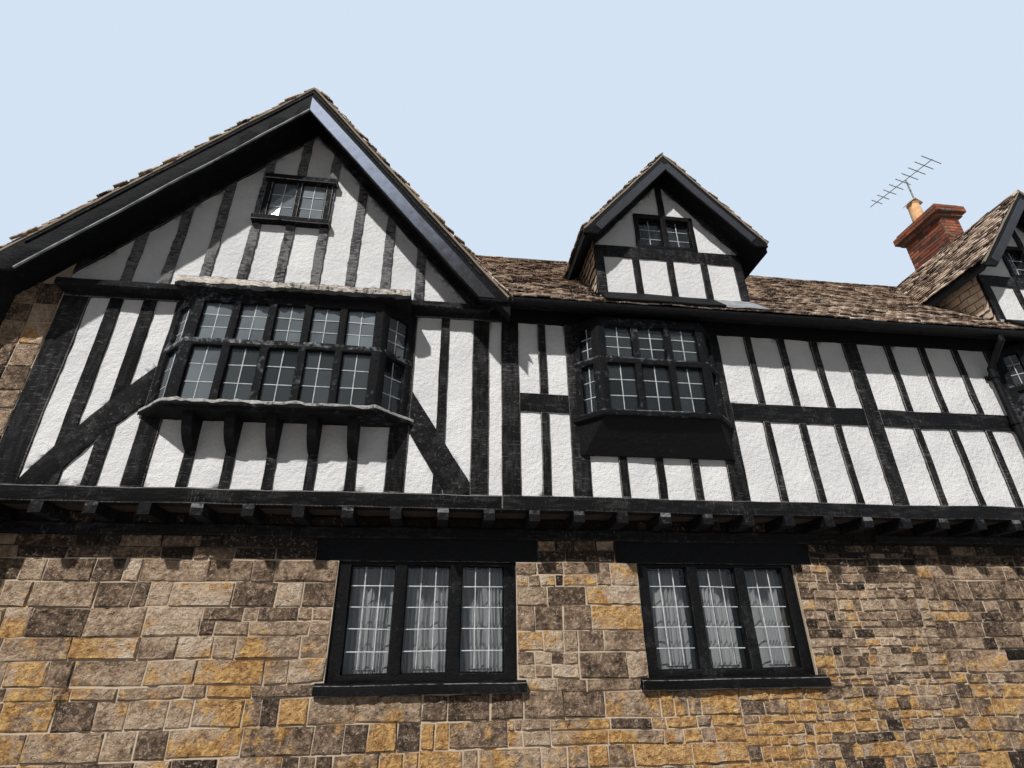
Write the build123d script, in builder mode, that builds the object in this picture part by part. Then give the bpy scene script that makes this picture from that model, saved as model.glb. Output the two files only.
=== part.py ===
from build123d import *
import os
from math import atan2, cos, degrees, hypot, radians, tan

os.makedirs("parts", exist_ok=True)

# Half timbered house. Two setting-out points carry every size below: distances "across" are
# taken from the outer face of the left stone wall, depths from the front face of the jettied
# upper frame towards the back, heights from the ground. The model's origin is the middle of
# the footprint at ground level, with +X to the right along the front and +Z up.

# Overall plan
left_wall = 450
joint_strip = 140
party_wall = 420
house_depth = 4800
jetty_reach = 400
stone_wall = 450
rear_stone_thickness = 400

# Storeys, from the ground upwards
slab_thickness = 150
ground_storey = 2900
bressumer_depth = 150
upper_storey = 2100
wall_plate_depth = 250
tie_depth = 210

# Floors
joist_depth = 110
joist_width = 110
joist_pitch = 460
joist_pocket = 200
attic_joist_depth = 150
attic_joist_pitch = 700
board_thickness = 28

# Timber frame
timber = 150
panel_recess = 22
panel_thickness = 95
corner_post = 270
wing_end_post = 190
post = 200
wide_stud = 130
stud = 95
rail_height = 950
rail_depth = 215

# Bays of the wing from left to right: what each holds, its clear width, its studs and their width
wing_bay_kinds = ("brace", "oriel", "brace")
wing_bay_widths = (890, 2250, 660)
wing_stud_counts = (2, 5, 1)
wing_stud_widths = (wide_stud, stud, stud)

# Bays of the range from left to right: what each holds, its clear width and its studs
range_bay_kinds = ("panels", "oriel", "panels", "panels", "oriel", "panels")
range_bay_widths = (560, 1550, 1700, 1850, 1550, 550)
range_stud_counts = (1, 3, 3, 3, 3, 1)

# Braces of the wing: heights over the bressumer where their edges meet the posts
brace_foot_width = 250
left_brace_foot = 30
left_brace_head = 1280
left_brace_depth = 430
left_brace_sag = 60
right_brace_head = 1120
right_brace_foot = 130
right_brace_depth = 470

# Main roof over the range
eave_reach = 300
eave_edge = 80
main_pitch = 46
roof_drop = 220
party_verge = 60

# Roof and gable of the wing: the heels are the heights over the plate where the roof is seated
wing_ridge_run = 2280
wing_ridge_rise = 225
wing_left_heel = 430
wing_right_heel = 33
wing_left_eave = 250
wing_right_eave = 190
verge_reach = 430
rafter_drop = 145
barge_thickness = 45
barge_drop = 400
barge_tuck = 70
barge_foot_drop = 40

# Ridge tiles
ridge_tile_half = 150
ridge_tile_thickness = 25

# Studs and window of the wing gable
gable_stud_pitch = 405
gable_stud = 110
gable_window_shift = 100
gable_window_rise = 1090
gable_window_height = 640
gable_window_width = 700
gable_head_board = 110
gable_sill_board = 85
gable_board_reach = 75
gable_board_side = 110

# Large oriel of the wing
large_oriel_lap = 175
large_oriel_height = 1400
large_oriel_reach = 300
large_oriel_cant = 320
large_oriel_sill = 100
large_oriel_low_light = 610
large_oriel_head = 150
large_oriel_lights = 5
oriel_transom_depth = 80
oriel_timber = 85
oriel_mullion = 75
oriel_sill_lip = 45
oriel_sill_lip_depth = 75
oriel_sill_fall = 12
hood_reach = 130
hood_thickness = 60
bracket_height = 330
bracket_reach = 230
bracket_toe = 60

# Oriels of the range
range_oriel_lap = 110
range_oriel_height = 1270
range_oriel_reach = 235
range_oriel_cant = 235
range_oriel_sill = 75
range_oriel_low_light = 585
range_oriel_head = 100
range_oriel_lights = 3
cove_height = 380
cove_toe = 35

# Ground floor windows
ground_window_width = 1790
ground_window_height = 1080
ground_window_drop = 450
first_window_from_corner = 1460
second_window_from_bay = 530
third_window_from_party_wall = 270
ground_lights = 3
ground_jamb = 120
ground_mullion = 110
ground_rail = 60
ground_head_rail = 30
ground_frame_depth = 110
ground_frame_setback = 30
lintel_depth = 230
lintel_side = 230
sill_depth = 105
sill_fall = 21
sill_side = 85
sill_reach = 70

# Leaded lights
glass_thickness = 6

# Dormers
dormer_width = 2020
dormer_from_post = 290
dormer_post = 110
dormer_post_height = 1130
dormer_stud = 90
dormer_tie_depth = 180
dormer_timber = 120
dormer_heel = 8
dormer_slope = 1.18
dormer_eave_reach = 230
dormer_roof_drop = 150
dormer_verge_reach = 270
dormer_rafter_drop = 110
dormer_barge_drop = 260
dormer_barge_tuck = 50
dormer_barge_thickness = 40
dormer_window_width = 860
dormer_window_height = 600
dormer_window_frame = 60
dormer_mullion = 70
dormer_hole_margin = 40
cheek_thickness = 90
apron_length = 190
apron_upstand = 63
apron_thickness = 6

# Chimney
stack_depth = 900
stack_before_ridge = 600
stack_sunk = 100
stack_rise = 1395
cap_step = 60
cap_course = 75
cap_steps = (1, 2, 2, 1)
pot_sides = 16
pot_radius = 130
pot_top_radius = 110
pot_height = 600
pot_wall = 22
pot_from_back = 350
cowl_half = 150
cowl_slope = 0.8
cowl_thickness = 22
mortar_length = 360
mortar_width = 260
mortar_height = 90

# Rainwater goods
gutter_radius = 60
gutter_wall = 5
gutter_drop = 20
pipe_radius = 38
pipe_standoff = 35
pipe_drop = 70
pipe_from_post = 114
pipe_sides = 12
shoe_reach = 90
collar_radius = 52
collar_height = 60
collar_lug = 14
collar_plate = 8
upper_collar_drop = 450
lower_collar = 1000

# Aerial
mast_from_side = 30
mast_from_back = 290
mast_height = 1420
mast_radius = 16
boom_turn = 13
boom_front = 620
boom_back = 900
boom_size = 14
boom_elements = 9
boom_pitch = 165
element_length = 620
element_taper = 34

# Rear
rear_door_width = 950
rear_door_height = 2050
rear_door_from_party_wall = 4110
rear_door_thickness = 50
rear_window_height = 800
rear_window_rise = 1100

# Curtains
curtain_depth = 50
curtain_gap = 60
curtain_rail_radius = 8
curtain_drop = 30

# Worked-out heights
bressumer_bottom = ground_storey
frame_bottom = bressumer_bottom + bressumer_depth
plate_bottom = frame_bottom + upper_storey
tie_top = plate_bottom + tie_depth
joist_bottom = bressumer_bottom - joist_depth
rail_bottom = frame_bottom + rail_height
main_slope = tan(radians(main_pitch))
ridge_depth = house_depth / 2
eave_height = plate_bottom + wall_plate_depth + roof_drop - eave_reach * main_slope
main_ridge_height = eave_height + (ridge_depth + eave_reach) * main_slope
wing_ridge_height = main_ridge_height + wing_ridge_rise
ground_window_top = bressumer_bottom - ground_window_drop
ground_window_bottom = ground_window_top - ground_window_height
gable_window_bottom = tie_top + gable_window_rise
gable_window_top = gable_window_bottom + gable_window_height
large_oriel_bottom = plate_bottom - large_oriel_height
range_oriel_bottom = plate_bottom - range_oriel_height
dormer_tie_bottom = plate_bottom + dormer_post_height
dormer_tie_top = dormer_tie_bottom + dormer_tie_depth
dormer_roof_seat = dormer_tie_top + dormer_heel + dormer_rafter_drop + dormer_roof_drop
dormer_ridge_height = dormer_roof_seat + dormer_width / 2 * dormer_slope

# Worked-out places across: posts as pairs of left and right edges, then what hangs on them
wing_start = left_wall
wing_post_edges = [(wing_start, wing_start + corner_post)]
for clear in wing_bay_widths[:-1]:
    foot = wing_post_edges[-1][1] + clear
    wing_post_edges.append((foot, foot + post))
wing_end = wing_post_edges[-1][1] + wing_bay_widths[-1] + wing_end_post
wing_post_edges.append((wing_end - wing_end_post, wing_end))

range_start = wing_end + joint_strip
range_post_edges = [(range_start, range_start + post)]
for clear in range_bay_widths:
    foot = range_post_edges[-1][1] + clear
    range_post_edges.append((foot, foot + post))
range_end = range_post_edges[-1][1]
house_length = range_end + party_wall

wing_ridge_across = wing_start + wing_ridge_run
wing_left_slope = (wing_ridge_height - roof_drop - plate_bottom - wing_left_heel) / wing_ridge_run
wing_right_slope = (wing_ridge_height - roof_drop - plate_bottom - wing_right_heel) / (
    wing_end - wing_ridge_across
)
gable_window_centre = wing_ridge_across - gable_window_shift
stone_front = jetty_reach
rear_stone_front = house_depth - rear_stone_thickness
rear_frame_front = house_depth - timber


def elevation(depth=0):
    """Front elevation at a depth: x is the distance across, y the height, facing the street."""
    return Plane(
        origin=(-house_length / 2, depth - house_depth / 2, 0), x_dir=(1, 0, 0), z_dir=(0, -1, 0)
    )


def section(across=0):
    """Cross section at a distance across: x is the depth, y the height, facing right."""
    return Plane(
        origin=(across - house_length / 2, -house_depth / 2, 0), x_dir=(0, 1, 0), z_dir=(1, 0, 0)
    )


def plan(height=0):
    """Plan at a height: x is the distance across, y the depth, facing up."""
    return Plane(
        origin=(-house_length / 2, -house_depth / 2, height), x_dir=(1, 0, 0), z_dir=(0, 0, 1)
    )


def box_2d(x_low, x_high, y_low, y_high, mode=Mode.ADD):
    """A rectangle between two corners, in the sketch that is open."""
    with Locations(((x_low + x_high) / 2, (y_low + y_high) / 2)):
        Rectangle(x_high - x_low, y_high - y_low, mode=mode)


def outline(points, mode=Mode.ADD):
    """A face with straight edges through the points, in the sketch that is open."""
    Polygon(*points, align=None, mode=mode)


def spaced(start, end, width, count):
    """Left edges of members set at even gaps between two posts."""
    gap = (end - start - width * count) / (count + 1)
    return [start + gap + index * (gap + width) for index in range(count)]


def between_pairs(edges):
    return list(zip(edges[:-1], edges[1:]))


def main_roof_top(depth):
    """Height of the tiles of the main roof at a depth."""
    return main_ridge_height - abs(depth - ridge_depth) * main_slope


def wing_roof_top(across, lift=0):
    """Height of the tiles of the wing's roof at a distance across."""
    run = across - wing_ridge_across
    slope = wing_right_slope if run > 0 else wing_left_slope
    return wing_ridge_height - abs(run) * slope + lift


def wing_roof_across(height, side, lift=0):
    """Where a slope of the wing's roof, lifted by lift, reaches a height."""
    fall = wing_ridge_height + lift - height
    if side == "left":
        return wing_ridge_across - fall / wing_left_slope
    return wing_ridge_across + fall / wing_right_slope


def trimmed_post(left, right, base, ridge_across, roof_line):
    """Outline of a post that stands on base and is cut to a roof line over it."""
    points = [(left, base), (right, base), (right, roof_line(right))]
    if left < ridge_across < right:
        points.append((ridge_across, roof_line(ridge_across)))
    return points + [(left, roof_line(left))]


def chevron(middle, top, half, slope, drop):
    """Two equal sloping bands that meet at the top, cut plumb at their feet."""
    foot = top - half * slope
    return [
        (middle - half, foot),
        (middle, top),
        (middle + half, foot),
        (middle + half, foot - drop),
        (middle, top - drop),
        (middle - half, foot - drop),
    ]


def wing_gable_outline(base, lift):
    """Triangle of the wing's gable over a height, under its roof lifted by lift."""
    return [
        (wing_roof_across(base, "left", lift), base),
        (wing_ridge_across, wing_ridge_height + lift),
        (wing_roof_across(base, "right", lift), base),
    ]


range_clear_bays = [(left[1], right[0]) for left, right in between_pairs(range_post_edges)]
wing_clear_bays = [(left[1], right[0]) for left, right in between_pairs(wing_post_edges)]
left_brace_bay, wing_oriel_bay, right_brace_bay = wing_clear_bays
range_oriel_bays = [
    edges for edges, kind in zip(range_clear_bays, range_bay_kinds) if kind == "oriel"
]
range_oriel_spans = [
    (left - range_oriel_lap, right + range_oriel_lap) for left, right in range_oriel_bays
]
large_oriel_left = wing_oriel_bay[0] - large_oriel_lap
large_oriel_right = wing_oriel_bay[1] + large_oriel_lap
dormer_starts = [left + dormer_from_post for left, right in range_oriel_bays]
ground_window_starts = (
    wing_end - first_window_from_corner,
    range_oriel_bays[0][0] + second_window_from_bay,
    range_end - third_window_from_party_wall - ground_window_width,
)


def wing_post_shapes(mode=Mode.ADD):
    for left, right in wing_post_edges:
        box_2d(left, right, frame_bottom, plate_bottom, mode)


def wing_brace_shapes(mode=Mode.ADD):
    """Two bowed braces: one rises from the left corner, one falls to the right corner."""
    left, right = left_brace_bay
    foot, head = frame_bottom + left_brace_foot, frame_bottom + left_brace_head
    under_head = head - left_brace_depth
    toe = left + brace_foot_width
    with BuildLine() as brace_edges:
        top = ThreePointArc(
            (left, foot),
            ((left + right) / 2, (foot + head) / 2 + left_brace_sag),
            (right, head),
        )
        side = Line(top @ 1, (right, under_head))
        low = ThreePointArc(
            side @ 1,
            ((toe + right) / 2, (frame_bottom + under_head) / 2 + left_brace_sag),
            (toe, frame_bottom),
        )
        Polyline(low @ 1, (left, frame_bottom), top @ 0)
    make_face(brace_edges.edges(), mode=mode)
    left, right = right_brace_bay
    outline(
        [
            (left, frame_bottom + right_brace_head),
            (right, frame_bottom + right_brace_foot),
            (right, frame_bottom),
            (right - brace_foot_width, frame_bottom),
            (left, frame_bottom + right_brace_head - right_brace_depth),
        ],
        mode,
    )


def wing_stud_shapes(mode=Mode.ADD, oriel_top=large_oriel_bottom):
    """Close studs of the wing; those of the oriel bay stop under the window."""
    bays = zip(wing_clear_bays, wing_bay_kinds, wing_stud_counts, wing_stud_widths)
    for (left, right), kind, count, width in bays:
        top = oriel_top if kind == "oriel" else plate_bottom
        for edge in spaced(left, right, width, count):
            box_2d(edge, edge + width, frame_bottom, top, mode)


def gable_stud_edges():
    """Left edges of the gable's studs, set out from the window's middle."""
    first = -4 * gable_stud_pitch
    return [
        gable_window_centre - gable_stud / 2 + first + index * gable_stud_pitch
        for index in range(9)
    ]


def under_gable_rafters(across):
    return wing_roof_top(across, -roof_drop - rafter_drop)


def gable_stud_shapes(mode=Mode.ADD, window_bottom=gable_window_bottom):
    """Studs between the tie beam and the rafters; the middle one makes way for the window."""
    middle = 4
    for index, left in enumerate(gable_stud_edges()):
        right, base = left + gable_stud, tie_top
        if index == middle:
            box_2d(left, right, tie_top, window_bottom, mode)
            base = max(window_bottom, gable_window_top)
        outline(trimmed_post(left, right, base, wing_ridge_across, under_gable_rafters), mode)


def range_post_shapes(mode=Mode.ADD):
    for left, right in range_post_edges:
        box_2d(left, right, frame_bottom, plate_bottom, mode)


def range_rail_shapes(mode=Mode.ADD):
    for (left, right), kind in zip(range_clear_bays, range_bay_kinds):
        if kind == "panels":
            box_2d(left, right, rail_bottom, rail_bottom + rail_depth, mode)


def range_stud_shapes(mode=Mode.ADD, oriel_top=range_oriel_bottom):
    for (left, right), kind, count in zip(range_clear_bays, range_bay_kinds, range_stud_counts):
        for edge in spaced(left, right, stud, count):
            if kind == "oriel":
                box_2d(edge, edge + stud, frame_bottom, oriel_top, mode)
            else:
                box_2d(edge, edge + stud, frame_bottom, rail_bottom, mode)
                box_2d(edge, edge + stud, rail_bottom + rail_depth, plate_bottom, mode)


def light_shapes(left, right, bottom, top, columns, bar, mode=Mode.ADD, grow=0):
    """A row of window lights between two jambs with a bar between each two."""
    width = (right - left - bar * (columns - 1)) / columns
    for column in range(columns):
        start = left + column * (width + bar)
        box_2d(start - grow, start + width + grow, bottom - grow, top + grow, mode)


stack_front = ridge_depth - stack_before_ridge
stack_back = stack_front + stack_depth
stack_top = main_ridge_height + stack_rise
stack_base = min(main_roof_top(stack_front), main_roof_top(stack_back))
stack_base -= roof_drop + stack_sunk

# Ground floor
with BuildPart() as ground_floor_slab:
    with BuildSketch(plan()):
        box_2d(left_wall, range_end, stone_front + stone_wall, rear_stone_front)
    extrude(amount=slab_thickness)

joist_count = int((range_end - left_wall - joist_width) / joist_pitch) + 1
joist_edges = [
    left_wall + (range_end - left_wall - joist_width) * index / (joist_count - 1)
    for index in range(joist_count)
]


def joist_shapes(mode=Mode.ADD):
    for edge in joist_edges:
        box_2d(edge, edge + joist_width, joist_bottom, bressumer_bottom, mode)


with BuildPart() as front_stone_wall:
    with BuildSketch(elevation(stone_front)):
        box_2d(left_wall, range_end, 0, bressumer_bottom)
        for start in ground_window_starts:
            end = start + ground_window_width
            box_2d(start, end, ground_window_bottom, ground_window_top, Mode.SUBTRACT)
        joist_shapes(Mode.SUBTRACT)
    extrude(amount=-stone_wall)
    with BuildSketch(elevation(stone_front)):
        for start in ground_window_starts:
            end = start + ground_window_width
            lintel_top = ground_window_top + lintel_depth
            box_2d(start - lintel_side, end + lintel_side, ground_window_top, lintel_top)
    extrude(amount=-(ground_frame_depth + ground_frame_setback), mode=Mode.SUBTRACT)
    with BuildSketch(elevation(stone_front)):
        for start in ground_window_starts:
            end = start + ground_window_width
            sill_bottom = ground_window_bottom - sill_depth
            box_2d(start - sill_side, end + sill_side, sill_bottom, ground_window_bottom)
    extrude(amount=-(ground_frame_depth + ground_frame_setback), mode=Mode.SUBTRACT)

with BuildPart() as rear_stone_wall:
    with BuildSketch(elevation(rear_stone_front)):
        box_2d(left_wall, range_end, 0, bressumer_bottom)
        for start in ground_window_starts:
            end = start + ground_window_width
            box_2d(start, end, ground_window_bottom, ground_window_top, Mode.SUBTRACT)
        rear_door_start = range_end - rear_door_from_party_wall
        rear_door_end = rear_door_start + rear_door_width
        rear_door_top = slab_thickness + rear_door_height
        box_2d(rear_door_start, rear_door_end, 0, rear_door_top, Mode.SUBTRACT)
    extrude(amount=-rear_stone_thickness)
    with BuildSketch(elevation(rear_stone_front)):
        joist_shapes()
    extrude(amount=-joist_pocket, mode=Mode.SUBTRACT)

with BuildPart() as left_stone_wall:
    with BuildSketch(elevation()):
        outline(
            [
                (0, 0),
                (left_wall, 0),
                (left_wall, wing_roof_top(left_wall, -roof_drop)),
                (0, wing_roof_top(0, -roof_drop)),
            ]
        )
    extrude(amount=-house_depth)

with BuildPart() as right_party_wall:
    with BuildSketch(section(range_end)):
        outline(
            [
                (0, 0),
                (house_depth, 0),
                (house_depth, main_roof_top(house_depth) - roof_drop),
                (ridge_depth, main_ridge_height - roof_drop),
                (0, main_roof_top(0) - roof_drop),
            ]
        )
        box_2d(stack_front, stack_back, stack_base, main_ridge_height, Mode.SUBTRACT)
    extrude(amount=party_wall)

# Floors
attic_joist_count = int((range_end - left_wall - joist_width) / attic_joist_pitch) + 1
attic_joist_step = (range_end - left_wall - joist_width) / (attic_joist_count - 1)
attic_floor = plate_bottom + attic_joist_depth

with BuildPart() as floor_joists:
    with BuildSketch(elevation()):
        joist_shapes()
    extrude(amount=-(rear_stone_front + joist_pocket))
    with BuildSketch(elevation(timber)):
        for index in range(attic_joist_count):
            edge = left_wall + index * attic_joist_step
            box_2d(edge, edge + joist_width, plate_bottom, attic_floor)
    extrude(amount=-(rear_frame_front - timber))

with BuildPart() as floor_boards:
    for height in (bressumer_bottom, attic_floor):
        with BuildSketch(plan(height)):
            box_2d(left_wall, range_end, timber, rear_frame_front)
        extrude(amount=board_thickness)

# Front frame of the wing
with BuildPart() as wing_bressumer:
    with BuildSketch(elevation()):
        box_2d(wing_start, range_start, bressumer_bottom, frame_bottom)
    extrude(amount=-timber)

with BuildPart() as wing_posts:
    with BuildSketch(elevation()):
        wing_post_shapes()
    extrude(amount=-timber)

with BuildPart() as wing_braces:
    with BuildSketch(elevation()):
        wing_brace_shapes()
    extrude(amount=-timber)

with BuildPart() as wing_studs:
    with BuildSketch(elevation()):
        wing_stud_shapes()
        wing_brace_shapes(Mode.SUBTRACT)
    extrude(amount=-timber)

with BuildPart() as wing_tie_beam:
    with BuildSketch(elevation()):
        box_2d(wing_start, range_start, plate_bottom, tie_top)
    extrude(amount=-timber)

with BuildPart() as wing_wall_panels:
    with BuildSketch(elevation(panel_recess)):
        box_2d(wing_start, range_start, frame_bottom, plate_bottom)
        box_2d(*wing_oriel_bay, large_oriel_bottom, plate_bottom, Mode.SUBTRACT)
        wing_post_shapes(Mode.SUBTRACT)
        wing_stud_shapes(Mode.SUBTRACT)
        wing_brace_shapes(Mode.SUBTRACT)
    extrude(amount=-panel_thickness)


def clear_of_stone_wall():
    """Cuts a gable's foot back to the inner face of the left stone wall."""
    box_2d(-wing_left_eave, left_wall, 0, wing_ridge_height, Mode.SUBTRACT)


def gable_window_gap(mode=Mode.SUBTRACT):
    left = gable_window_centre - gable_window_width / 2
    box_2d(left, left + gable_window_width, gable_window_bottom, gable_window_top, mode)


with BuildPart() as wing_gable_rafters:
    with BuildSketch(elevation()):
        outline(wing_gable_outline(tie_top, -roof_drop))
        outline(wing_gable_outline(tie_top, -roof_drop - rafter_drop), Mode.SUBTRACT)
        clear_of_stone_wall()
    extrude(amount=-timber)

with BuildPart() as wing_gable_studs:
    with BuildSketch(elevation()):
        gable_stud_shapes()
        gable_window_gap()
    extrude(amount=-timber)

with BuildPart() as wing_gable_panels:
    with BuildSketch(elevation(panel_recess)):
        outline(wing_gable_outline(tie_top, -roof_drop - rafter_drop))
        gable_stud_shapes(Mode.SUBTRACT)
        gable_window_gap()
        clear_of_stone_wall()
    extrude(amount=-panel_thickness)

# Front frame of the range
with BuildPart() as range_bressumer:
    with BuildSketch(elevation()):
        box_2d(range_start, range_end, bressumer_bottom, frame_bottom)
    extrude(amount=-timber)

with BuildPart() as range_posts:
    with BuildSketch(elevation()):
        range_post_shapes()
    extrude(amount=-timber)

with BuildPart() as range_mid_rails:
    with BuildSketch(elevation()):
        range_rail_shapes()
    extrude(amount=-timber)

with BuildPart() as range_studs:
    with BuildSketch(elevation()):
        range_stud_shapes()
    extrude(amount=-timber)

with BuildPart() as wall_plates:
    with BuildSketch(section(range_start)):
        outline(
            [
                (0, plate_bottom),
                (timber, plate_bottom),
                (timber, main_roof_top(timber) - roof_drop),
                (0, main_roof_top(0) - roof_drop),
            ]
        )
    extrude(amount=range_end - range_start)
    with BuildSketch(section(wing_end)):
        outline(
            [
                (rear_frame_front, tie_top),
                (house_depth, tie_top),
                (house_depth, main_roof_top(house_depth) - roof_drop),
                (rear_frame_front, main_roof_top(rear_frame_front) - roof_drop),
            ]
        )
    extrude(amount=range_end - wing_end)

with BuildPart() as range_wall_panels:
    with BuildSketch(elevation(panel_recess)):
        box_2d(range_start, range_end, frame_bottom, plate_bottom)
        for left, right in range_oriel_bays:
            box_2d(left, right, range_oriel_bottom, plate_bottom, Mode.SUBTRACT)
        range_post_shapes(Mode.SUBTRACT)
        range_rail_shapes(Mode.SUBTRACT)
        range_stud_shapes(Mode.SUBTRACT)
    extrude(amount=-panel_thickness)


# Oriel windows: a canted ring in plan, pierced light by light
def canted_points(left, right, reach, cant, inset=0):
    """Plan of an oriel, front at depth -reach; inset shrinks it, a negative inset grows it."""
    length = hypot(reach, cant)
    side = inset * length / reach
    front = reach - inset
    run = front * cant / reach
    return [
        (left + side, 0),
        (left + side + run, -front),
        (right - side - run, -front),
        (right - side, 0),
    ]


def oriel_planes(left, right, reach, cant, sunk=0):
    """The three faces of an oriel as planes with x along the face, with their lengths."""
    origin_x, origin_y = -house_length / 2, -house_depth / 2
    corners = canted_points(left, right, reach, cant, sunk)
    faces = []
    for start, end in between_pairs(corners):
        along = Vector(end[0] - start[0], end[1] - start[1], 0)
        outward = Vector(along.Y, -along.X, 0)
        corner = (origin_x + start[0], origin_y + start[1], 0)
        faces.append((Plane(origin=corner, x_dir=along, z_dir=outward), along.length))
    return faces


def oriel_lights(face_length, columns, rows, mode=Mode.ADD):
    """The lights of one face, set in from its two corners."""
    for bottom, top in rows:
        jamb = oriel_timber
        light_shapes(jamb, face_length - jamb, bottom, top, columns, oriel_mullion, mode)


def oriel_solid(left, right, reach, cant, bottom, rows, lights):
    """Frame of an oriel with its floor, its ceiling board and its projecting sill."""
    sill_top = rows[0][0]
    with BuildSketch(plan(bottom)) as ring:
        outline(canted_points(left, right, reach, cant))
        outline(canted_points(left, right, reach, cant, oriel_timber), Mode.SUBTRACT)
    extrude(ring.sketch, amount=plate_bottom - bottom)
    for low, thickness in (
        (bottom, sill_top - oriel_sill_fall - bottom),
        (plate_bottom - board_thickness, board_thickness),
    ):
        with BuildSketch(plan(low)) as board:
            outline(canted_points(left, right, reach, cant))
        extrude(board.sketch, amount=thickness)
    with BuildSketch(plan(sill_top - oriel_sill_lip_depth)) as lip:
        outline(canted_points(left, right, reach, cant, -oriel_sill_lip))
        outline(canted_points(left, right, reach, cant, oriel_timber), Mode.SUBTRACT)
    extrude(lip.sketch, amount=oriel_sill_lip_depth - oriel_sill_fall)
    for (plane, length), columns in zip(oriel_planes(left, right, reach, cant), (1, lights, 1)):
        with BuildSketch(plane) as openings:
            oriel_lights(length, columns, rows)
        extrude(openings.sketch, amount=-oriel_timber, mode=Mode.SUBTRACT)


def oriel_glass(left, right, reach, cant, rows, lights):
    """Sheets of glass in the middle of the frame, one for each light."""
    faces = oriel_planes(left, right, reach, cant)
    for (plane, length), columns in zip(faces, (1, lights, 1)):
        with BuildSketch(plane.offset(-oriel_timber / 2)) as sheets:
            oriel_lights(length, columns, rows)
        extrude(sheets.sketch, amount=-glass_thickness)


def oriel_rows(bottom, sill, low_light, head):
    """Heights of the lower and the upper lights of an oriel that stands on bottom."""
    transom = bottom + sill + low_light
    return (
        (bottom + sill, transom),
        (transom + oriel_transom_depth, plate_bottom - head),
    )


large_rows = oriel_rows(
    large_oriel_bottom, large_oriel_sill, large_oriel_low_light, large_oriel_head
)
range_rows = oriel_rows(
    range_oriel_bottom, range_oriel_sill, range_oriel_low_light, range_oriel_head
)
large_plan = (large_oriel_left, large_oriel_right, large_oriel_reach, large_oriel_cant)

with BuildPart() as large_oriel_frame:
    oriel_solid(*large_plan, large_oriel_bottom, large_rows, large_oriel_lights)

with BuildPart() as large_oriel_hood:
    with BuildSketch(plan(plate_bottom)):
        outline(canted_points(*large_plan, -hood_reach))
    extrude(amount=hood_thickness)

with BuildPart() as large_oriel_brackets:
    for edge in spaced(*wing_oriel_bay, stud, large_oriel_lights):
        with BuildSketch(section(edge)):
            with BuildLine():
                top = Line((0, large_oriel_bottom), (-bracket_reach, large_oriel_bottom))
                nose = Line(top @ 1, (-bracket_reach, large_oriel_bottom - bracket_toe))
                foot = (0, large_oriel_bottom - bracket_height)
                hollow = RadiusArc(nose @ 1, foot, -(bracket_height + bracket_toe))
                Line(hollow @ 1, top @ 0)
            make_face()
        extrude(amount=stud)

with BuildPart() as range_oriel_frames:
    for left, right in range_oriel_spans:
        oriel_solid(
            left,
            right,
            range_oriel_reach,
            range_oriel_cant,
            range_oriel_bottom,
            range_rows,
            range_oriel_lights,
        )

with BuildPart() as range_oriel_coves:
    for left, right in range_oriel_spans:
        with BuildSketch(plan(range_oriel_bottom)):
            outline(canted_points(left, right, range_oriel_reach, range_oriel_cant))
        with BuildSketch(plan(range_oriel_bottom - cove_height)):
            outline(
                [
                    (left, 0),
                    (left + cove_toe, -cove_toe),
                    (right - cove_toe, -cove_toe),
                    (right, 0),
                ]
            )
        loft()

# Gable window of the wing
gable_left = gable_window_centre - gable_window_width / 2
gable_right = gable_left + gable_window_width
gable_frame_edge = dormer_window_frame
gable_head_top = gable_window_top + gable_head_board
gable_sill_bottom = gable_window_bottom - gable_sill_board


def gable_lights(mode=Mode.ADD):
    light_shapes(
        gable_left + gable_frame_edge,
        gable_right - gable_frame_edge,
        gable_window_bottom + gable_frame_edge,
        gable_window_top - gable_frame_edge,
        2,
        dormer_mullion,
        mode,
    )


with BuildPart() as gable_window_frame:
    with BuildSketch(elevation()):
        box_2d(gable_left, gable_right, gable_window_bottom, gable_window_top)
        gable_lights(Mode.SUBTRACT)
    extrude(amount=-timber)
    with BuildSketch(elevation()):
        left, right = gable_left - gable_board_side, gable_right + gable_board_side
        box_2d(left, right, gable_window_top - gable_frame_edge, gable_head_top)
        box_2d(left, right, gable_sill_bottom, gable_window_bottom + gable_frame_edge)
    extrude(amount=gable_board_reach)

# Ground floor windows
def ground_light_shapes(mode=Mode.ADD):
    for start in ground_window_starts:
        light_shapes(
            start + ground_jamb,
            start + ground_window_width - ground_jamb,
            ground_window_bottom + ground_rail,
            ground_window_top - ground_head_rail,
            ground_lights,
            ground_mullion,
            mode,
        )


with BuildPart() as ground_window_frames:
    for face in (stone_front + ground_frame_setback, house_depth - ground_frame_depth):
        with BuildSketch(elevation(face)):
            for start in ground_window_starts:
                end = start + ground_window_width
                box_2d(start, end, ground_window_bottom, ground_window_top)
            ground_light_shapes(Mode.SUBTRACT)
        extrude(amount=-ground_frame_depth)

with BuildPart() as ground_window_lintels:
    with BuildSketch(elevation(stone_front)):
        for start in ground_window_starts:
            end = start + ground_window_width
            lintel_top = ground_window_top + lintel_depth
            box_2d(start - lintel_side, end + lintel_side, ground_window_top, lintel_top)
    extrude(amount=-(ground_frame_depth + ground_frame_setback))

with BuildPart() as ground_window_sills:
    for start in ground_window_starts:
        end = start + ground_window_width
        with BuildSketch(section(start - sill_side)):
            outline(
                [
                    (stone_front + ground_frame_depth + ground_frame_setback, ground_window_bottom),
                    (stone_front, ground_window_bottom),
                    (stone_front - sill_reach, ground_window_bottom - sill_fall),
                    (stone_front - sill_reach, ground_window_bottom - sill_depth),
                    (
                        stone_front + ground_frame_depth + ground_frame_setback,
                        ground_window_bottom - sill_depth,
                    ),
                ]
            )
        extrude(amount=ground_window_width + 2 * sill_side)

with BuildPart() as ground_window_glass:
    front_face = stone_front + ground_frame_setback + ground_frame_depth / 2
    for face in (front_face, house_depth - ground_frame_depth / 2):
        with BuildSketch(elevation(face)):
            ground_light_shapes()
        extrude(amount=-glass_thickness)

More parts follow.
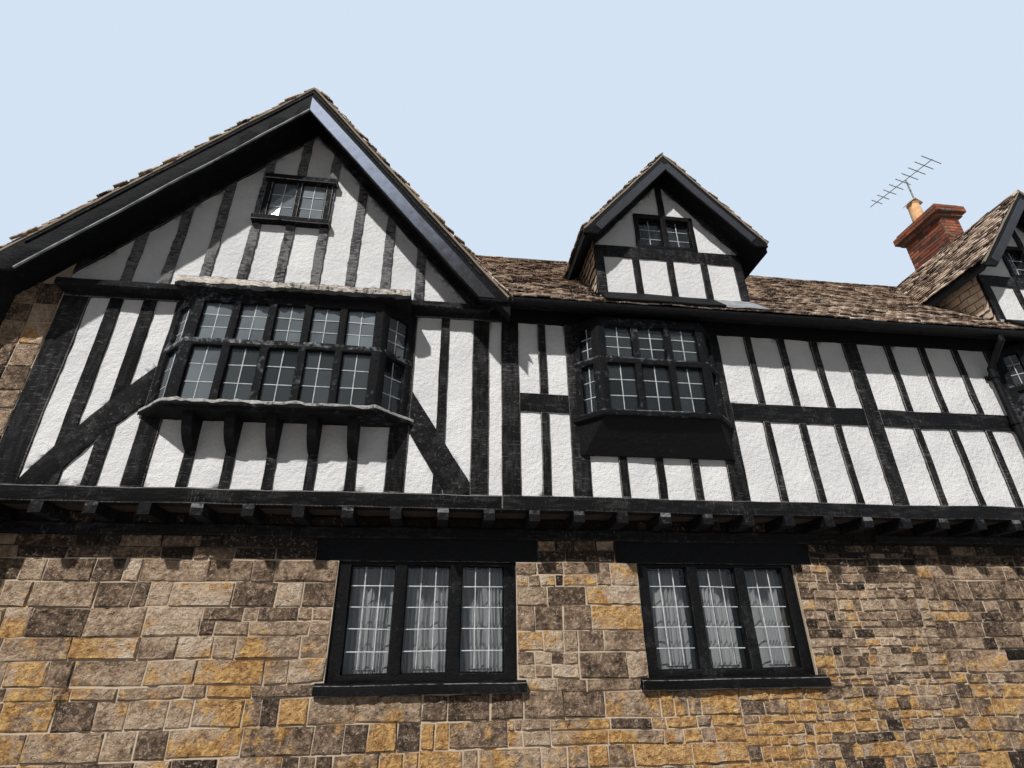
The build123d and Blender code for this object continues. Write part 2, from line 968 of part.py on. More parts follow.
# Curtains behind the front ground floor windows, one gathered pair of folds for each light
curtain_front = stone_front + ground_frame_setback + ground_frame_depth + curtain_gap
curtain_rail_height = ground_window_top - curtain_drop
with BuildPart() as curtain_rails:
    for start in ground_window_starts:
        with BuildSketch(section(start)):
            with Locations((curtain_front + curtain_depth / 2, curtain_rail_height)):
                Circle(curtain_rail_radius)
        extrude(amount=ground_window_width)

with BuildPart() as ground_curtains:
    with BuildSketch(elevation(curtain_front)):
        for start in ground_window_starts:
            light_shapes(
                start + ground_jamb,
                start + ground_window_width - ground_jamb,
                ground_window_bottom + curtain_drop,
                curtain_rail_height - curtain_rail_radius,
                ground_lights,
                ground_mullion,
            )
    extrude(amount=-curtain_depth)


# Dormers
def dormer_ridge_across(start):
    return start + dormer_width / 2


dormer_foot = main_roof_top(0) - roof_drop


def dormer_gable(start, lift):
    """Outline of a dormer's front from the wall plate to its roof, lifted by lift."""
    middle = dormer_ridge_across(start)
    half = dormer_width / 2
    top = dormer_ridge_height + lift
    return [
        (start, dormer_foot),
        (start, top - half * dormer_slope),
        (middle, top),
        (start + dormer_width, top - half * dormer_slope),
        (start + dormer_width, dormer_foot),
    ]


def clear_of_wall_plate():
    """Cuts what stands on the sloping top of the front wall plate to its surface."""
    with BuildSketch(section(range_start)) as under_plate_top:
        outline(
            [
                (-timber, dormer_foot - timber),
                (-timber, dormer_foot - timber * main_slope),
                (timber * 2, dormer_foot + timber * 2 * main_slope),
                (timber * 2, dormer_foot - timber),
            ]
        )
    extrude(under_plate_top.sketch, amount=range_end - range_start, mode=Mode.SUBTRACT)


def dormer_frame_shapes(start, mode=Mode.ADD):
    end = start + dormer_width
    box_2d(start, start + dormer_post, dormer_foot, dormer_tie_bottom, mode)
    box_2d(end - dormer_post, end, dormer_foot, dormer_tie_bottom, mode)
    for edge in spaced(start + dormer_post, end - dormer_post, dormer_stud, 3):
        box_2d(edge, edge + dormer_stud, dormer_foot, dormer_tie_bottom, mode)
    box_2d(start, end, dormer_tie_bottom, dormer_tie_top, mode)
    middle = dormer_ridge_across(start)
    half = dormer_stud / 2

    def rafter_line(across):
        drop = dormer_roof_drop + dormer_rafter_drop
        return dormer_ridge_height - drop - abs(across - middle) * dormer_slope

    outline(trimmed_post(middle - half, middle + half, dormer_tie_top, middle, rafter_line), mode)


def dormer_window_gap(start, mode=Mode.SUBTRACT):
    left = dormer_ridge_across(start) - dormer_window_width / 2
    top = dormer_tie_top + dormer_window_height
    box_2d(left, left + dormer_window_width, dormer_tie_top, top, mode)


def dormer_lights(start, mode=Mode.ADD):
    left = dormer_ridge_across(start) - dormer_window_width / 2
    light_shapes(
        left + dormer_window_frame,
        left + dormer_window_width - dormer_window_frame,
        dormer_tie_top + dormer_window_frame,
        dormer_tie_top + dormer_window_height - dormer_window_frame,
        2,
        dormer_mullion,
        mode,
    )


with BuildPart() as dormer_frames:
    for start in dormer_starts:
        with BuildSketch(elevation()):
            outline(dormer_gable(start, -dormer_roof_drop))
            outline(dormer_gable(start, -dormer_roof_drop - dormer_rafter_drop), Mode.SUBTRACT)
            dormer_frame_shapes(start)
            dormer_window_gap(start)
        extrude(amount=-dormer_timber)
    clear_of_wall_plate()

with BuildPart() as dormer_panels:
    for start in dormer_starts:
        with BuildSketch(elevation(panel_recess)):
            outline(dormer_gable(start, -dormer_roof_drop - dormer_rafter_drop))
            dormer_frame_shapes(start, Mode.SUBTRACT)
            dormer_window_gap(start)
        extrude(amount=-(dormer_timber - 2 * panel_recess))
    clear_of_wall_plate()

with BuildPart() as dormer_window_frames:
    with BuildSketch(elevation()):
        for start in dormer_starts:
            dormer_window_gap(start, Mode.ADD)
            dormer_lights(start, Mode.SUBTRACT)
    extrude(amount=-dormer_timber)

def depth_at_main_roof(height):
    """Depth on the front slope where the main roof's tiles reach a height."""
    return (height - eave_height) / main_slope - eave_reach


dormer_half_span = dormer_width / 2 + dormer_eave_reach
main_roof_end = house_length + party_verge
cheek_top = dormer_ridge_height - dormer_roof_drop - dormer_width / 2 * dormer_slope
dormer_hole_depth = depth_at_main_roof(
    dormer_ridge_height - (dormer_width / 2 - cheek_thickness) * dormer_slope
)
dormer_hole_depth -= dormer_hole_margin
with BuildPart() as dormer_cheeks:
    for start in dormer_starts:
        for edge in (start, start + dormer_width - cheek_thickness):
            with BuildSketch(section(edge)):
                outline(
                    [
                        (dormer_timber, main_roof_top(dormer_timber)),
                        (dormer_timber, cheek_top),
                        (depth_at_main_roof(cheek_top), cheek_top),
                    ]
                )
            extrude(amount=cheek_thickness)

with BuildPart() as dormer_roofs:
    for start in dormer_starts:
        middle = dormer_ridge_across(start)
        with BuildSketch(elevation(-dormer_verge_reach)):
            outline(
                chevron(
                    middle, dormer_ridge_height, dormer_half_span, dormer_slope, dormer_roof_drop
                )
            )
        extrude(amount=-(dormer_verge_reach + ridge_depth))
    with BuildSketch(section(range_start)):
        outline(
            [
                (-eave_reach, eave_height),
                (ridge_depth, main_ridge_height),
                (ridge_depth + eave_reach, main_ridge_height - eave_reach * main_slope),
                (ridge_depth + eave_reach, 0),
                (-eave_reach, 0),
            ]
        )
    extrude(amount=main_roof_end - range_start, mode=Mode.SUBTRACT)

with BuildPart() as dormer_bargeboards:
    for start in dormer_starts:
        with BuildSketch(elevation(-dormer_verge_reach)):
            middle = dormer_ridge_across(start)
            top = dormer_ridge_height - dormer_barge_tuck
            outline(chevron(middle, top, dormer_half_span, dormer_slope, dormer_barge_drop))
        extrude(amount=dormer_barge_thickness)

with BuildPart() as lead_aprons:
    for start in dormer_starts:
        low_front = (
            -apron_length * cos(radians(main_pitch)),
            main_roof_top(-apron_length * cos(radians(main_pitch))),
        )
        with BuildSketch(section(start)):
            outline(
                [
                    low_front,
                    (0, main_roof_top(0)),
                    (0, main_roof_top(0) + apron_upstand),
                    (-apron_thickness, main_roof_top(0) + apron_upstand),
                    (-apron_thickness, main_roof_top(0) + apron_thickness),
                    (low_front[0], low_front[1] + apron_thickness * 2),
                ]
            )
        extrude(amount=dormer_width)

# Wing roof and the main roof meet in two valleys
valley_front = wing_roof_across(eave_height, "right")
valley_back = wing_roof_across(main_ridge_height, "right")
rear_eave = house_depth + eave_reach


def wing_roof_slope(side):
    """One slope of the wing's roof as seen from the front."""
    if side == "left":
        eave = -wing_left_eave
    else:
        eave = wing_end + wing_right_eave
    outline(
        [
            (wing_ridge_across, wing_ridge_height),
            (eave, wing_roof_top(eave)),
            (eave, wing_roof_top(eave) - roof_drop),
            (wing_ridge_across, wing_ridge_height - roof_drop),
        ]
    )


roof_run = house_depth + 2 * verge_reach
with BuildPart() as wing_roof_left:
    with BuildSketch(elevation(-verge_reach)):
        wing_roof_slope("left")
    extrude(amount=-roof_run)

with BuildPart() as wing_roof_right:
    with BuildSketch(elevation(-verge_reach)):
        wing_roof_slope("right")
    extrude(amount=-roof_run)
    with BuildSketch(plan()):
        outline(
            [
                (valley_front, -eave_reach),
                (valley_back, ridge_depth),
                (valley_front, rear_eave),
                (main_roof_end, rear_eave),
                (main_roof_end, -eave_reach),
            ]
        )
    extrude(amount=wing_ridge_height * 2, mode=Mode.SUBTRACT)


def main_roof_slope(side):
    """One slope of the main roof in section, with a level cut under the eave."""
    sign = -1 if side == "front" else 1
    edge = ridge_depth + sign * (ridge_depth + eave_reach)
    level_cut = edge - sign * (roof_drop - eave_edge) / main_slope
    outline(
        [
            (edge, eave_height),
            (ridge_depth, main_ridge_height),
            (ridge_depth, main_ridge_height - roof_drop),
            (level_cut, eave_height - eave_edge),
            (edge, eave_height - eave_edge),
        ]
    )


def cut_at_valleys():
    """Trims a slope that was made too long at the left to the two valleys."""
    with BuildSketch(plan()) as beyond_valleys:
        outline(
            [
                (0, -eave_reach * 2),
                (valley_front, -eave_reach * 2),
                (valley_front, -eave_reach),
                (valley_back, ridge_depth),
                (valley_front, rear_eave),
                (valley_front, rear_eave + eave_reach),
                (0, rear_eave + eave_reach),
            ]
        )
    extrude(beyond_valleys.sketch, amount=wing_ridge_height * 2, mode=Mode.SUBTRACT)


def stack_plan(grow=0):
    """Plan of the chimney stack, over the party wall."""
    left, right = range_end - grow, house_length + grow
    box_2d(left, right, stack_front - grow, stack_back + grow)


def cut_at_stack():
    with BuildSketch(plan(stack_base)) as stack_hole:
        stack_plan()
    extrude(stack_hole.sketch, amount=stack_top - stack_base, mode=Mode.SUBTRACT)


with BuildPart() as main_roof_front:
    with BuildSketch(section(wing_ridge_across)):
        main_roof_slope("front")
    extrude(amount=main_roof_end - wing_ridge_across)
    cut_at_valleys()
    with BuildSketch(plan()):
        for start in dormer_starts:
            left, right = start + cheek_thickness, start + dormer_width - cheek_thickness
            box_2d(start, start + dormer_width, 0, dormer_timber)
            box_2d(left, right, dormer_timber, dormer_hole_depth)
    extrude(amount=wing_ridge_height * 2, mode=Mode.SUBTRACT)
    cut_at_stack()

with BuildPart() as main_roof_back:
    with BuildSketch(section(wing_ridge_across)):
        main_roof_slope("back")
    extrude(amount=main_roof_end - wing_ridge_across)
    cut_at_valleys()
    cut_at_stack()

with BuildPart() as wing_bargeboards:
    for face in (-verge_reach, house_depth + verge_reach + barge_thickness):
        with BuildSketch(elevation(face)):
            foot = plate_bottom - barge_foot_drop
            outline(wing_gable_outline(foot, -barge_tuck))
            outline(wing_gable_outline(foot, -barge_tuck - barge_drop), Mode.SUBTRACT)
        extrude(amount=barge_thickness)

# Rear timber frame, set flush over the stone wall
rear_window_bottom = frame_bottom + rear_window_rise
rear_window_top = rear_window_bottom + rear_window_height
rear_window_bays = [wing_oriel_bay] + range_oriel_bays
rear_window_lights = (large_oriel_lights, range_oriel_lights, range_oriel_lights)


def rear_window_shapes(mode=Mode.ADD):
    for left, right in rear_window_bays:
        box_2d(left, right, rear_window_bottom, rear_window_top, mode)


def rear_light_shapes(mode=Mode.ADD):
    for (left, right), count in zip(rear_window_bays, rear_window_lights):
        light_shapes(
            left + oriel_mullion,
            right - oriel_mullion,
            rear_window_bottom + oriel_mullion,
            rear_window_top - oriel_mullion,
            count,
            oriel_mullion,
            mode,
        )


with BuildPart() as rear_timber_frame:
    with BuildSketch(elevation(rear_frame_front)):
        box_2d(left_wall, range_end, bressumer_bottom, frame_bottom)
        box_2d(left_wall, range_end, plate_bottom, tie_top)
        wing_post_shapes()
        wing_stud_shapes(oriel_top=plate_bottom)
        wing_brace_shapes()
        range_post_shapes()
        range_rail_shapes()
        range_stud_shapes(oriel_top=plate_bottom)
        rear_window_shapes(Mode.SUBTRACT)
    extrude(amount=-timber)

with BuildPart() as rear_gable_frame:
    with BuildSketch(elevation(rear_frame_front)):
        outline(wing_gable_outline(tie_top, -roof_drop))
        outline(wing_gable_outline(tie_top, -roof_drop - rafter_drop), Mode.SUBTRACT)
        gable_stud_shapes(window_bottom=gable_window_top)
        clear_of_stone_wall()
    extrude(amount=-timber)

with BuildPart() as rear_wall_panels:
    with BuildSketch(elevation(rear_frame_front + timber - panel_recess - panel_thickness)):
        box_2d(wing_start, range_end, frame_bottom, plate_bottom)
        wing_post_shapes(Mode.SUBTRACT)
        wing_stud_shapes(Mode.SUBTRACT, plate_bottom)
        wing_brace_shapes(Mode.SUBTRACT)
        range_post_shapes(Mode.SUBTRACT)
        range_rail_shapes(Mode.SUBTRACT)
        range_stud_shapes(Mode.SUBTRACT, plate_bottom)
        rear_window_shapes(Mode.SUBTRACT)
    extrude(amount=-panel_thickness)
    with BuildSketch(elevation(rear_frame_front + timber - panel_recess - panel_thickness)):
        outline(wing_gable_outline(tie_top, -roof_drop - rafter_drop))
        gable_stud_shapes(Mode.SUBTRACT, gable_window_top)
        clear_of_stone_wall()
    extrude(amount=-panel_thickness)

with BuildPart() as upper_window_glass:
    oriel_glass(*large_plan, large_rows, large_oriel_lights)
    for left, right in range_oriel_spans:
        oriel_glass(
            left, right, range_oriel_reach, range_oriel_cant, range_rows, range_oriel_lights
        )
    with BuildSketch(elevation(timber / 2)):
        gable_lights()
        for start in dormer_starts:
            dormer_lights(start)
    extrude(amount=-glass_thickness)
    with BuildSketch(elevation(rear_frame_front + timber / 2)):
        rear_light_shapes()
    extrude(amount=-glass_thickness)

with BuildPart() as rear_window_frames:
    with BuildSketch(elevation(rear_frame_front)):
        rear_window_shapes()
        rear_light_shapes(Mode.SUBTRACT)
    extrude(amount=-timber)

with BuildPart() as rear_door:
    with BuildSketch(elevation(house_depth - rear_door_thickness * 2)):
        box_2d(rear_door_start, rear_door_end, 0, rear_door_top)
    extrude(amount=-rear_door_thickness)

# Ridge tiles lie on the two slopes that meet under them
main_ridge_start = valley_back
main_ridge_start += ridge_tile_half * (valley_front - valley_back) / (ridge_depth + eave_reach)
dormer_ridge_end = depth_at_main_roof(dormer_ridge_height - ridge_tile_half * dormer_slope)


def ridge_band(middle, top, left_slope, right_slope):
    """Section of a ridge tile: a band of even height over two slopes that meet at top."""
    half = ridge_tile_half
    outline(
        [
            (middle - half, top - half * left_slope),
            (middle, top),
            (middle + half, top - half * right_slope),
            (middle + half, top - half * right_slope + ridge_tile_thickness),
            (middle, top + ridge_tile_thickness),
            (middle - half, top - half * left_slope + ridge_tile_thickness),
        ]
    )


with BuildPart() as ridge_tiles:
    with BuildSketch(elevation(-verge_reach)):
        ridge_band(wing_ridge_across, wing_ridge_height, wing_left_slope, wing_right_slope)
    extrude(amount=-roof_run)
    with BuildSketch(section(main_ridge_start)):
        ridge_band(ridge_depth, main_ridge_height, main_slope, main_slope)
    extrude(amount=range_end - main_ridge_start)
    for start in dormer_starts:
        with BuildSketch(elevation(-dormer_verge_reach)):
            middle = dormer_ridge_across(start)
            ridge_band(middle, dormer_ridge_height, dormer_slope, dormer_slope)
        extrude(amount=-(dormer_verge_reach + dormer_ridge_end))

# Chimney on the party wall
with BuildPart() as chimney_stack:
    with BuildSketch(plan(stack_base)):
        stack_plan()
    extrude(amount=stack_top - stack_base)
    for course, step in enumerate(cap_steps):
        with BuildSketch(plan(stack_top + course * cap_course)):
            stack_plan(step * cap_step)
        extrude(amount=cap_course)

pot_base = stack_top + len(cap_steps) * cap_course
pot_across = range_end + party_wall / 2
pot_depth = stack_back - pot_from_back


pot_taper = degrees(atan2(pot_radius - pot_top_radius, pot_height))
with BuildPart() as chimney_pot:
    for radius, mode in ((pot_radius, Mode.ADD), (pot_radius - pot_wall, Mode.SUBTRACT)):
        with BuildSketch(plan(pot_base)):
            with Locations((pot_across, pot_depth)):
                RegularPolygon(radius, pot_sides)
        extrude(amount=pot_height, taper=pot_taper, mode=mode)

# A bent tile over the pot keeps the rain out; its two slopes rest on the sides of the rim
cowl_top = pot_base + pot_height + pot_top_radius * cowl_slope + cowl_thickness
with BuildPart() as chimney_cowl:
    with BuildSketch(elevation(pot_depth - pot_top_radius)):
        outline(chevron(pot_across, cowl_top, cowl_half, cowl_slope, cowl_thickness))
    extrude(amount=-pot_top_radius * 2)

with BuildPart() as cap_mortar:
    with BuildSketch(plan(pot_base)):
        with Locations((pot_across, stack_front + mortar_length / 2)):
            Rectangle(mortar_width, mortar_length)
    extrude(amount=mortar_height, taper=35)

# Rainwater goods under the front eave of the range
gutter_centre = -eave_reach - gutter_radius + gutter_drop
gutter_top = eave_height - eave_edge
gutter_start = wing_end + wing_right_eave
with BuildPart() as eaves_gutter:
    with BuildSketch(section(gutter_start)):
        with Locations((gutter_centre, gutter_top)):
            Circle(gutter_radius)
            Circle(gutter_radius - gutter_wall, mode=Mode.SUBTRACT)
        above = gutter_top + gutter_radius
        span = gutter_radius * 2
        box_2d(gutter_centre - span, gutter_centre + span, gutter_top, above, Mode.SUBTRACT)
    extrude(amount=house_length - gutter_start)

# The downpipe bends back from the gutter to the posts, and under the jetty to the stone
pipe_post = range_oriel_bays[1][0] - post
pipe_across = pipe_post - pipe_from_post
upper_pipe_depth = -pipe_radius - pipe_standoff
lower_pipe_depth = stone_front - pipe_radius - pipe_standoff
gutter_bottom = gutter_top - gutter_radius
upper_bend = gutter_bottom - pipe_drop
lower_bend = joist_bottom - pipe_drop
shoe_bend = slab_thickness
pipe_route = [
    (gutter_centre, gutter_bottom),
    (gutter_centre, upper_bend),
    (upper_pipe_depth, upper_bend + gutter_centre - upper_pipe_depth),
    (upper_pipe_depth, lower_bend),
    (lower_pipe_depth, lower_bend + upper_pipe_depth - lower_pipe_depth),
    (lower_pipe_depth, shoe_bend),
    (lower_pipe_depth - shoe_reach, shoe_bend - shoe_reach),
]
with BuildPart() as downpipe:
    with BuildLine(section(pipe_across)):
        Polyline(*pipe_route)
    with BuildSketch(plan(gutter_bottom)):
        with Locations((pipe_across, gutter_centre)):
            RegularPolygon(pipe_radius, pipe_sides)
    sweep(transition=Transition.RIGHT)
    for wall_front, pipe_depth, heights in (
        (0, upper_pipe_depth, (plate_bottom - upper_collar_drop, rail_bottom + collar_height)),
        (stone_front, lower_pipe_depth, (lower_collar, lower_collar * 2)),
    ):
        for height in heights:
            with BuildSketch(plan(height)):
                with Locations((pipe_across, pipe_depth)):
                    RegularPolygon(collar_radius, pipe_sides)
                half = collar_lug / 2
                box_2d(pipe_across - half, pipe_across + half, pipe_depth, wall_front)
                box_2d(
                    pipe_across - collar_radius,
                    pipe_post + collar_radius,
                    wall_front - collar_plate,
                    wall_front,
                )
            extrude(amount=collar_height)

# Television aerial on a mast that stands on the back of the chimney's cap
mast_across = house_length - mast_from_side
mast_depth = stack_back - mast_from_back
boom_plane = Plane(
    origin=(
        mast_across - house_length / 2,
        mast_depth - house_depth / 2,
        pot_base + mast_height,
    ),
    x_dir=(-tan(radians(boom_turn)), 1, 0),
    z_dir=(0, 0, 1),
)
with BuildPart() as aerial:
    with BuildSketch(plan(pot_base)):
        with Locations((mast_across, mast_depth)):
            RegularPolygon(mast_radius, pipe_sides)
    extrude(amount=mast_height)
    with BuildSketch(boom_plane):
        box_2d(-boom_front, boom_back, -boom_size / 2, boom_size / 2)
        for index in range(boom_elements):
            along = -boom_front + boom_size + index * boom_pitch
            half = (element_length - index * element_taper) / 2
            box_2d(along, along + boom_size, -half, half)
    extrude(amount=boom_size)

pieces = {
    "ground_floor_slab": ground_floor_slab,
    "front_stone_wall": front_stone_wall,
    "rear_stone_wall": rear_stone_wall,
    "left_stone_wall": left_stone_wall,
    "right_party_wall": right_party_wall,
    "floor_joists": floor_joists,
    "floor_boards": floor_boards,
    "wing_bressumer": wing_bressumer,
    "wing_posts": wing_posts,
    "wing_braces": wing_braces,
    "wing_studs": wing_studs,
    "wing_tie_beam": wing_tie_beam,
    "wing_wall_panels": wing_wall_panels,
    "wing_gable_rafters": wing_gable_rafters,
    "wing_gable_studs": wing_gable_studs,
    "wing_gable_panels": wing_gable_panels,
    "range_bressumer": range_bressumer,
    "range_posts": range_posts,
    "range_mid_rails": range_mid_rails,
    "range_studs": range_studs,
    "range_wall_panels": range_wall_panels,
    "wall_plates": wall_plates,
    "large_oriel_frame": large_oriel_frame,
    "large_oriel_hood": large_oriel_hood,
    "large_oriel_brackets": large_oriel_brackets,
    "range_oriel_frames": range_oriel_frames,
    "range_oriel_coves": range_oriel_coves,
    "gable_window_frame": gable_window_frame,
    "ground_window_frames": ground_window_frames,
    "ground_window_lintels": ground_window_lintels,
    "ground_window_sills": ground_window_sills,
    "ground_window_glass": ground_window_glass,
    "upper_window_glass": upper_window_glass,
    "curtain_rails": curtain_rails,
    "ground_curtains": ground_curtains,
    "dormer_frames": dormer_frames,
    "dormer_panels": dormer_panels,
    "dormer_window_frames": dormer_window_frames,
    "dormer_cheeks": dormer_cheeks,
    "dormer_roofs": dormer_roofs,
    "dormer_bargeboards": dormer_bargeboards,
    "lead_aprons": lead_aprons,
    "wing_roof_left": wing_roof_left,
    "wing_roof_right": wing_roof_right,
    "wing_bargeboards": wing_bargeboards,
    "main_roof_front": main_roof_front,
    "main_roof_back": main_roof_back,
    "rear_timber_frame": rear_timber_frame,
    "rear_gable_frame": rear_gable_frame,
    "rear_wall_panels": rear_wall_panels,
    "rear_window_frames": rear_window_frames,
    "rear_door": rear_door,
    "chimney_stack": chimney_stack,
    "chimney_pot": chimney_pot,
    "chimney_cowl": chimney_cowl,
    "cap_mortar": cap_mortar,
    "aerial": aerial,
    "ridge_tiles": ridge_tiles,
    "downpipe": downpipe,
    "eaves_gutter": eaves_gutter,
}
for name, piece in pieces.items():
    piece.part.label = name
    export_step(piece.part, f"parts/{name}.step")
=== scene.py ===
# %% [markdown]
# # A half timbered house, dressed
#
# The carpentry, walls and roofs of this house come ready made from its construction model, in
# metres, with the ground at Z 0 and the street front towards -Y. What is added here is what a
# mason, tiler, plumber and glazier would add on site: stones, tiles, bricks, lead and glass, and
# the finish of every surface. The file is read from top to bottom, one step at a time.

# %% Load the construction model
import random
from math import atan, ceil, cos, hypot, pi, radians, sin, tan

import bmesh
import bpy
from mathutils import Matrix, Vector, noise


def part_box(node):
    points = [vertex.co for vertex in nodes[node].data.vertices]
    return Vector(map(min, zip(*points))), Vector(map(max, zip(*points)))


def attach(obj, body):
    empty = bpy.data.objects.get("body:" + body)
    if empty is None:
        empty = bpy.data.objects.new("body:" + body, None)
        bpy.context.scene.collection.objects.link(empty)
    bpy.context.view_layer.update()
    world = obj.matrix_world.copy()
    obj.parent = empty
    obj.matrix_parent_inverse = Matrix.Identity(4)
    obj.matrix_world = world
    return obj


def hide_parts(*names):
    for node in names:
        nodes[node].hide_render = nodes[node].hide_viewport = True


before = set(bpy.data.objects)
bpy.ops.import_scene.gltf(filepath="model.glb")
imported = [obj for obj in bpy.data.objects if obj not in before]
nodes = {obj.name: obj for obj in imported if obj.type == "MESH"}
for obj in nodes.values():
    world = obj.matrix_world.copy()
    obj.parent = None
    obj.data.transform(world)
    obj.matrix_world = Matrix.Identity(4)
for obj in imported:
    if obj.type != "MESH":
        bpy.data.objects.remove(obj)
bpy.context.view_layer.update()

scene = bpy.context.scene

# %% [markdown]
# ## Camera
#
# The house is seen from the pavement across a narrow street, from eye height, with the camera
# tipped up to take in the ridge. The lens is wide, so the posts lean together towards the top.
# Yaw, pitch and roll are turned into three axes and given to the camera as one matrix, which
# is easier to check than three Euler angles.

# %% Camera
eye = Vector((-2.785, -7.9, 1.55))
yaw, pitch, roll = radians(7.628), radians(26.555), radians(-0.683)

ahead = Vector((sin(yaw) * cos(pitch), cos(yaw) * cos(pitch), sin(pitch)))
level = Vector((cos(yaw), -sin(yaw), 0))
above = level.cross(ahead)
across = level * cos(roll) + above * sin(roll)
above = above * cos(roll) - level * sin(roll)

lens = bpy.data.cameras.new("street_camera")
lens.lens, lens.sensor_width, lens.clip_end = 19.34, 36, 200
camera = bpy.data.objects.new("street_camera", lens)
camera.matrix_world = Matrix.Translation(eye) @ Matrix((across, above, -ahead)).transposed().to_4x4()
scene.collection.objects.link(camera)
scene.camera = camera
print("camera at", tuple(eye))

# %% [markdown]
# ## Helpers for shaders
#
# A material is a small sum: some noise, a threshold, a blend of two colours. Written with nodes
# alone that takes many lines, so `Wire` wraps one socket and lets Python's own operators add the
# Math nodes. `Nodes` has the single method that adds any other node, and `Finish` is a material
# with its usual parts: coordinates, noise, ramps and bumps.

# %% Shader helpers
class Wire:
    """One output of a node that can be used in sums."""

    def __init__(self, finish, socket):
        self.finish, self.socket = finish, socket

    def sum(self, operation, first, second):
        return self.finish.node("Math", {"operation": operation}, {0: first, 1: second})

    def __add__(self, other):
        return self.sum("ADD", self, other)

    def __sub__(self, other):
        return self.sum("SUBTRACT", self, other)

    def __rsub__(self, other):
        return self.sum("SUBTRACT", other, self)

    def __mul__(self, other):
        return self.sum("MULTIPLY", self, other)

    def __truediv__(self, other):
        return self.sum("DIVIDE", self, other)

    __radd__ = __add__
    __rmul__ = __mul__

    def rise(self, low, high):
        """0 up to low, 1 from high on, and a smooth slope between."""
        settings = {"interpolation_type": "SMOOTHSTEP"}
        return self.finish.node("MapRange", settings, {"Value": self, 1: low, 2: high})


class Nodes:
    """A node tree that is being filled."""

    def __init__(self, tree):
        self.tree = tree

    def node(self, kind, settings=None, sockets=None, output=0):
        """Adds a node: its settings first, then values or wires on its sockets."""
        made = self.tree.nodes.new("ShaderNode" + kind)
        for name, value in (settings or {}).items():
            if name == "stops":
                ramp = made.color_ramp
                while len(ramp.elements) < len(value):
                    ramp.elements.new(1)
                for element, (place, colour) in zip(ramp.elements, value):
                    element.position, element.color = place, (*colour, 1)
            else:
                setattr(made, name, value)
        for name, value in (sockets or {}).items():
            self.plug(value, made.inputs[name])
        return Wire(self, made.outputs[output])

    def plug(self, value, socket):
        if isinstance(value, Wire):
            self.tree.links.new(value.socket, socket)
        elif socket.type == "RGBA" and len(value) == 3:
            socket.default_value = (*value, 1)
        else:
            socket.default_value = value


class Finish(Nodes):
    """A material that is being made, with its shader."""

    def __init__(self, name, flat):
        self.material = bpy.data.materials.new(name)
        self.material.use_nodes = True
        self.material.diffuse_color = (*flat, 1)
        super().__init__(self.material.node_tree)
        self.shader = self.tree.nodes["Principled BSDF"]

    def surface(self, sockets):
        """Sets the shader's own sockets and hands the material over."""
        for name, value in sockets.items():
            self.plug(value, self.shader.inputs[name])
        return self.material

    def place(self, scale=(1, 1, 1), turn=(0, 0, 0)):
        """Object coordinates, stretched or turned."""
        coords = self.node("TexCoord", output="Object")
        return self.node("Mapping", None, {"Vector": coords, "Scale": scale, "Rotation": turn})

    def noise(self, scale, detail=2.0, roughness=0.5, vector=None):
        sockets = {"Scale": scale, "Detail": detail, "Roughness": roughness}
        sockets["Vector"] = vector or self.place()
        return self.node("TexNoise", None, sockets)

    def tone(self, name="tone"):
        """The value that a piece carries on its faces, one for each stone or tile."""
        return self.node("Attribute", {"attribute_name": name}, output="Fac")

    def ramp(self, value, stops):
        return self.node("ValToRGB", {"stops": stops}, {"Fac": value})

    def mix(self, share, first, second, blend="MIX"):
        settings = {"data_type": "RGBA", "blend_type": blend}
        return self.node("Mix", settings, {0: share, 6: first, 7: second}, output=2)

    def bump(self, height, distance, strength=1.0):
        return self.node("Bump", None, {"Height": height, "Distance": distance, "Strength": strength})
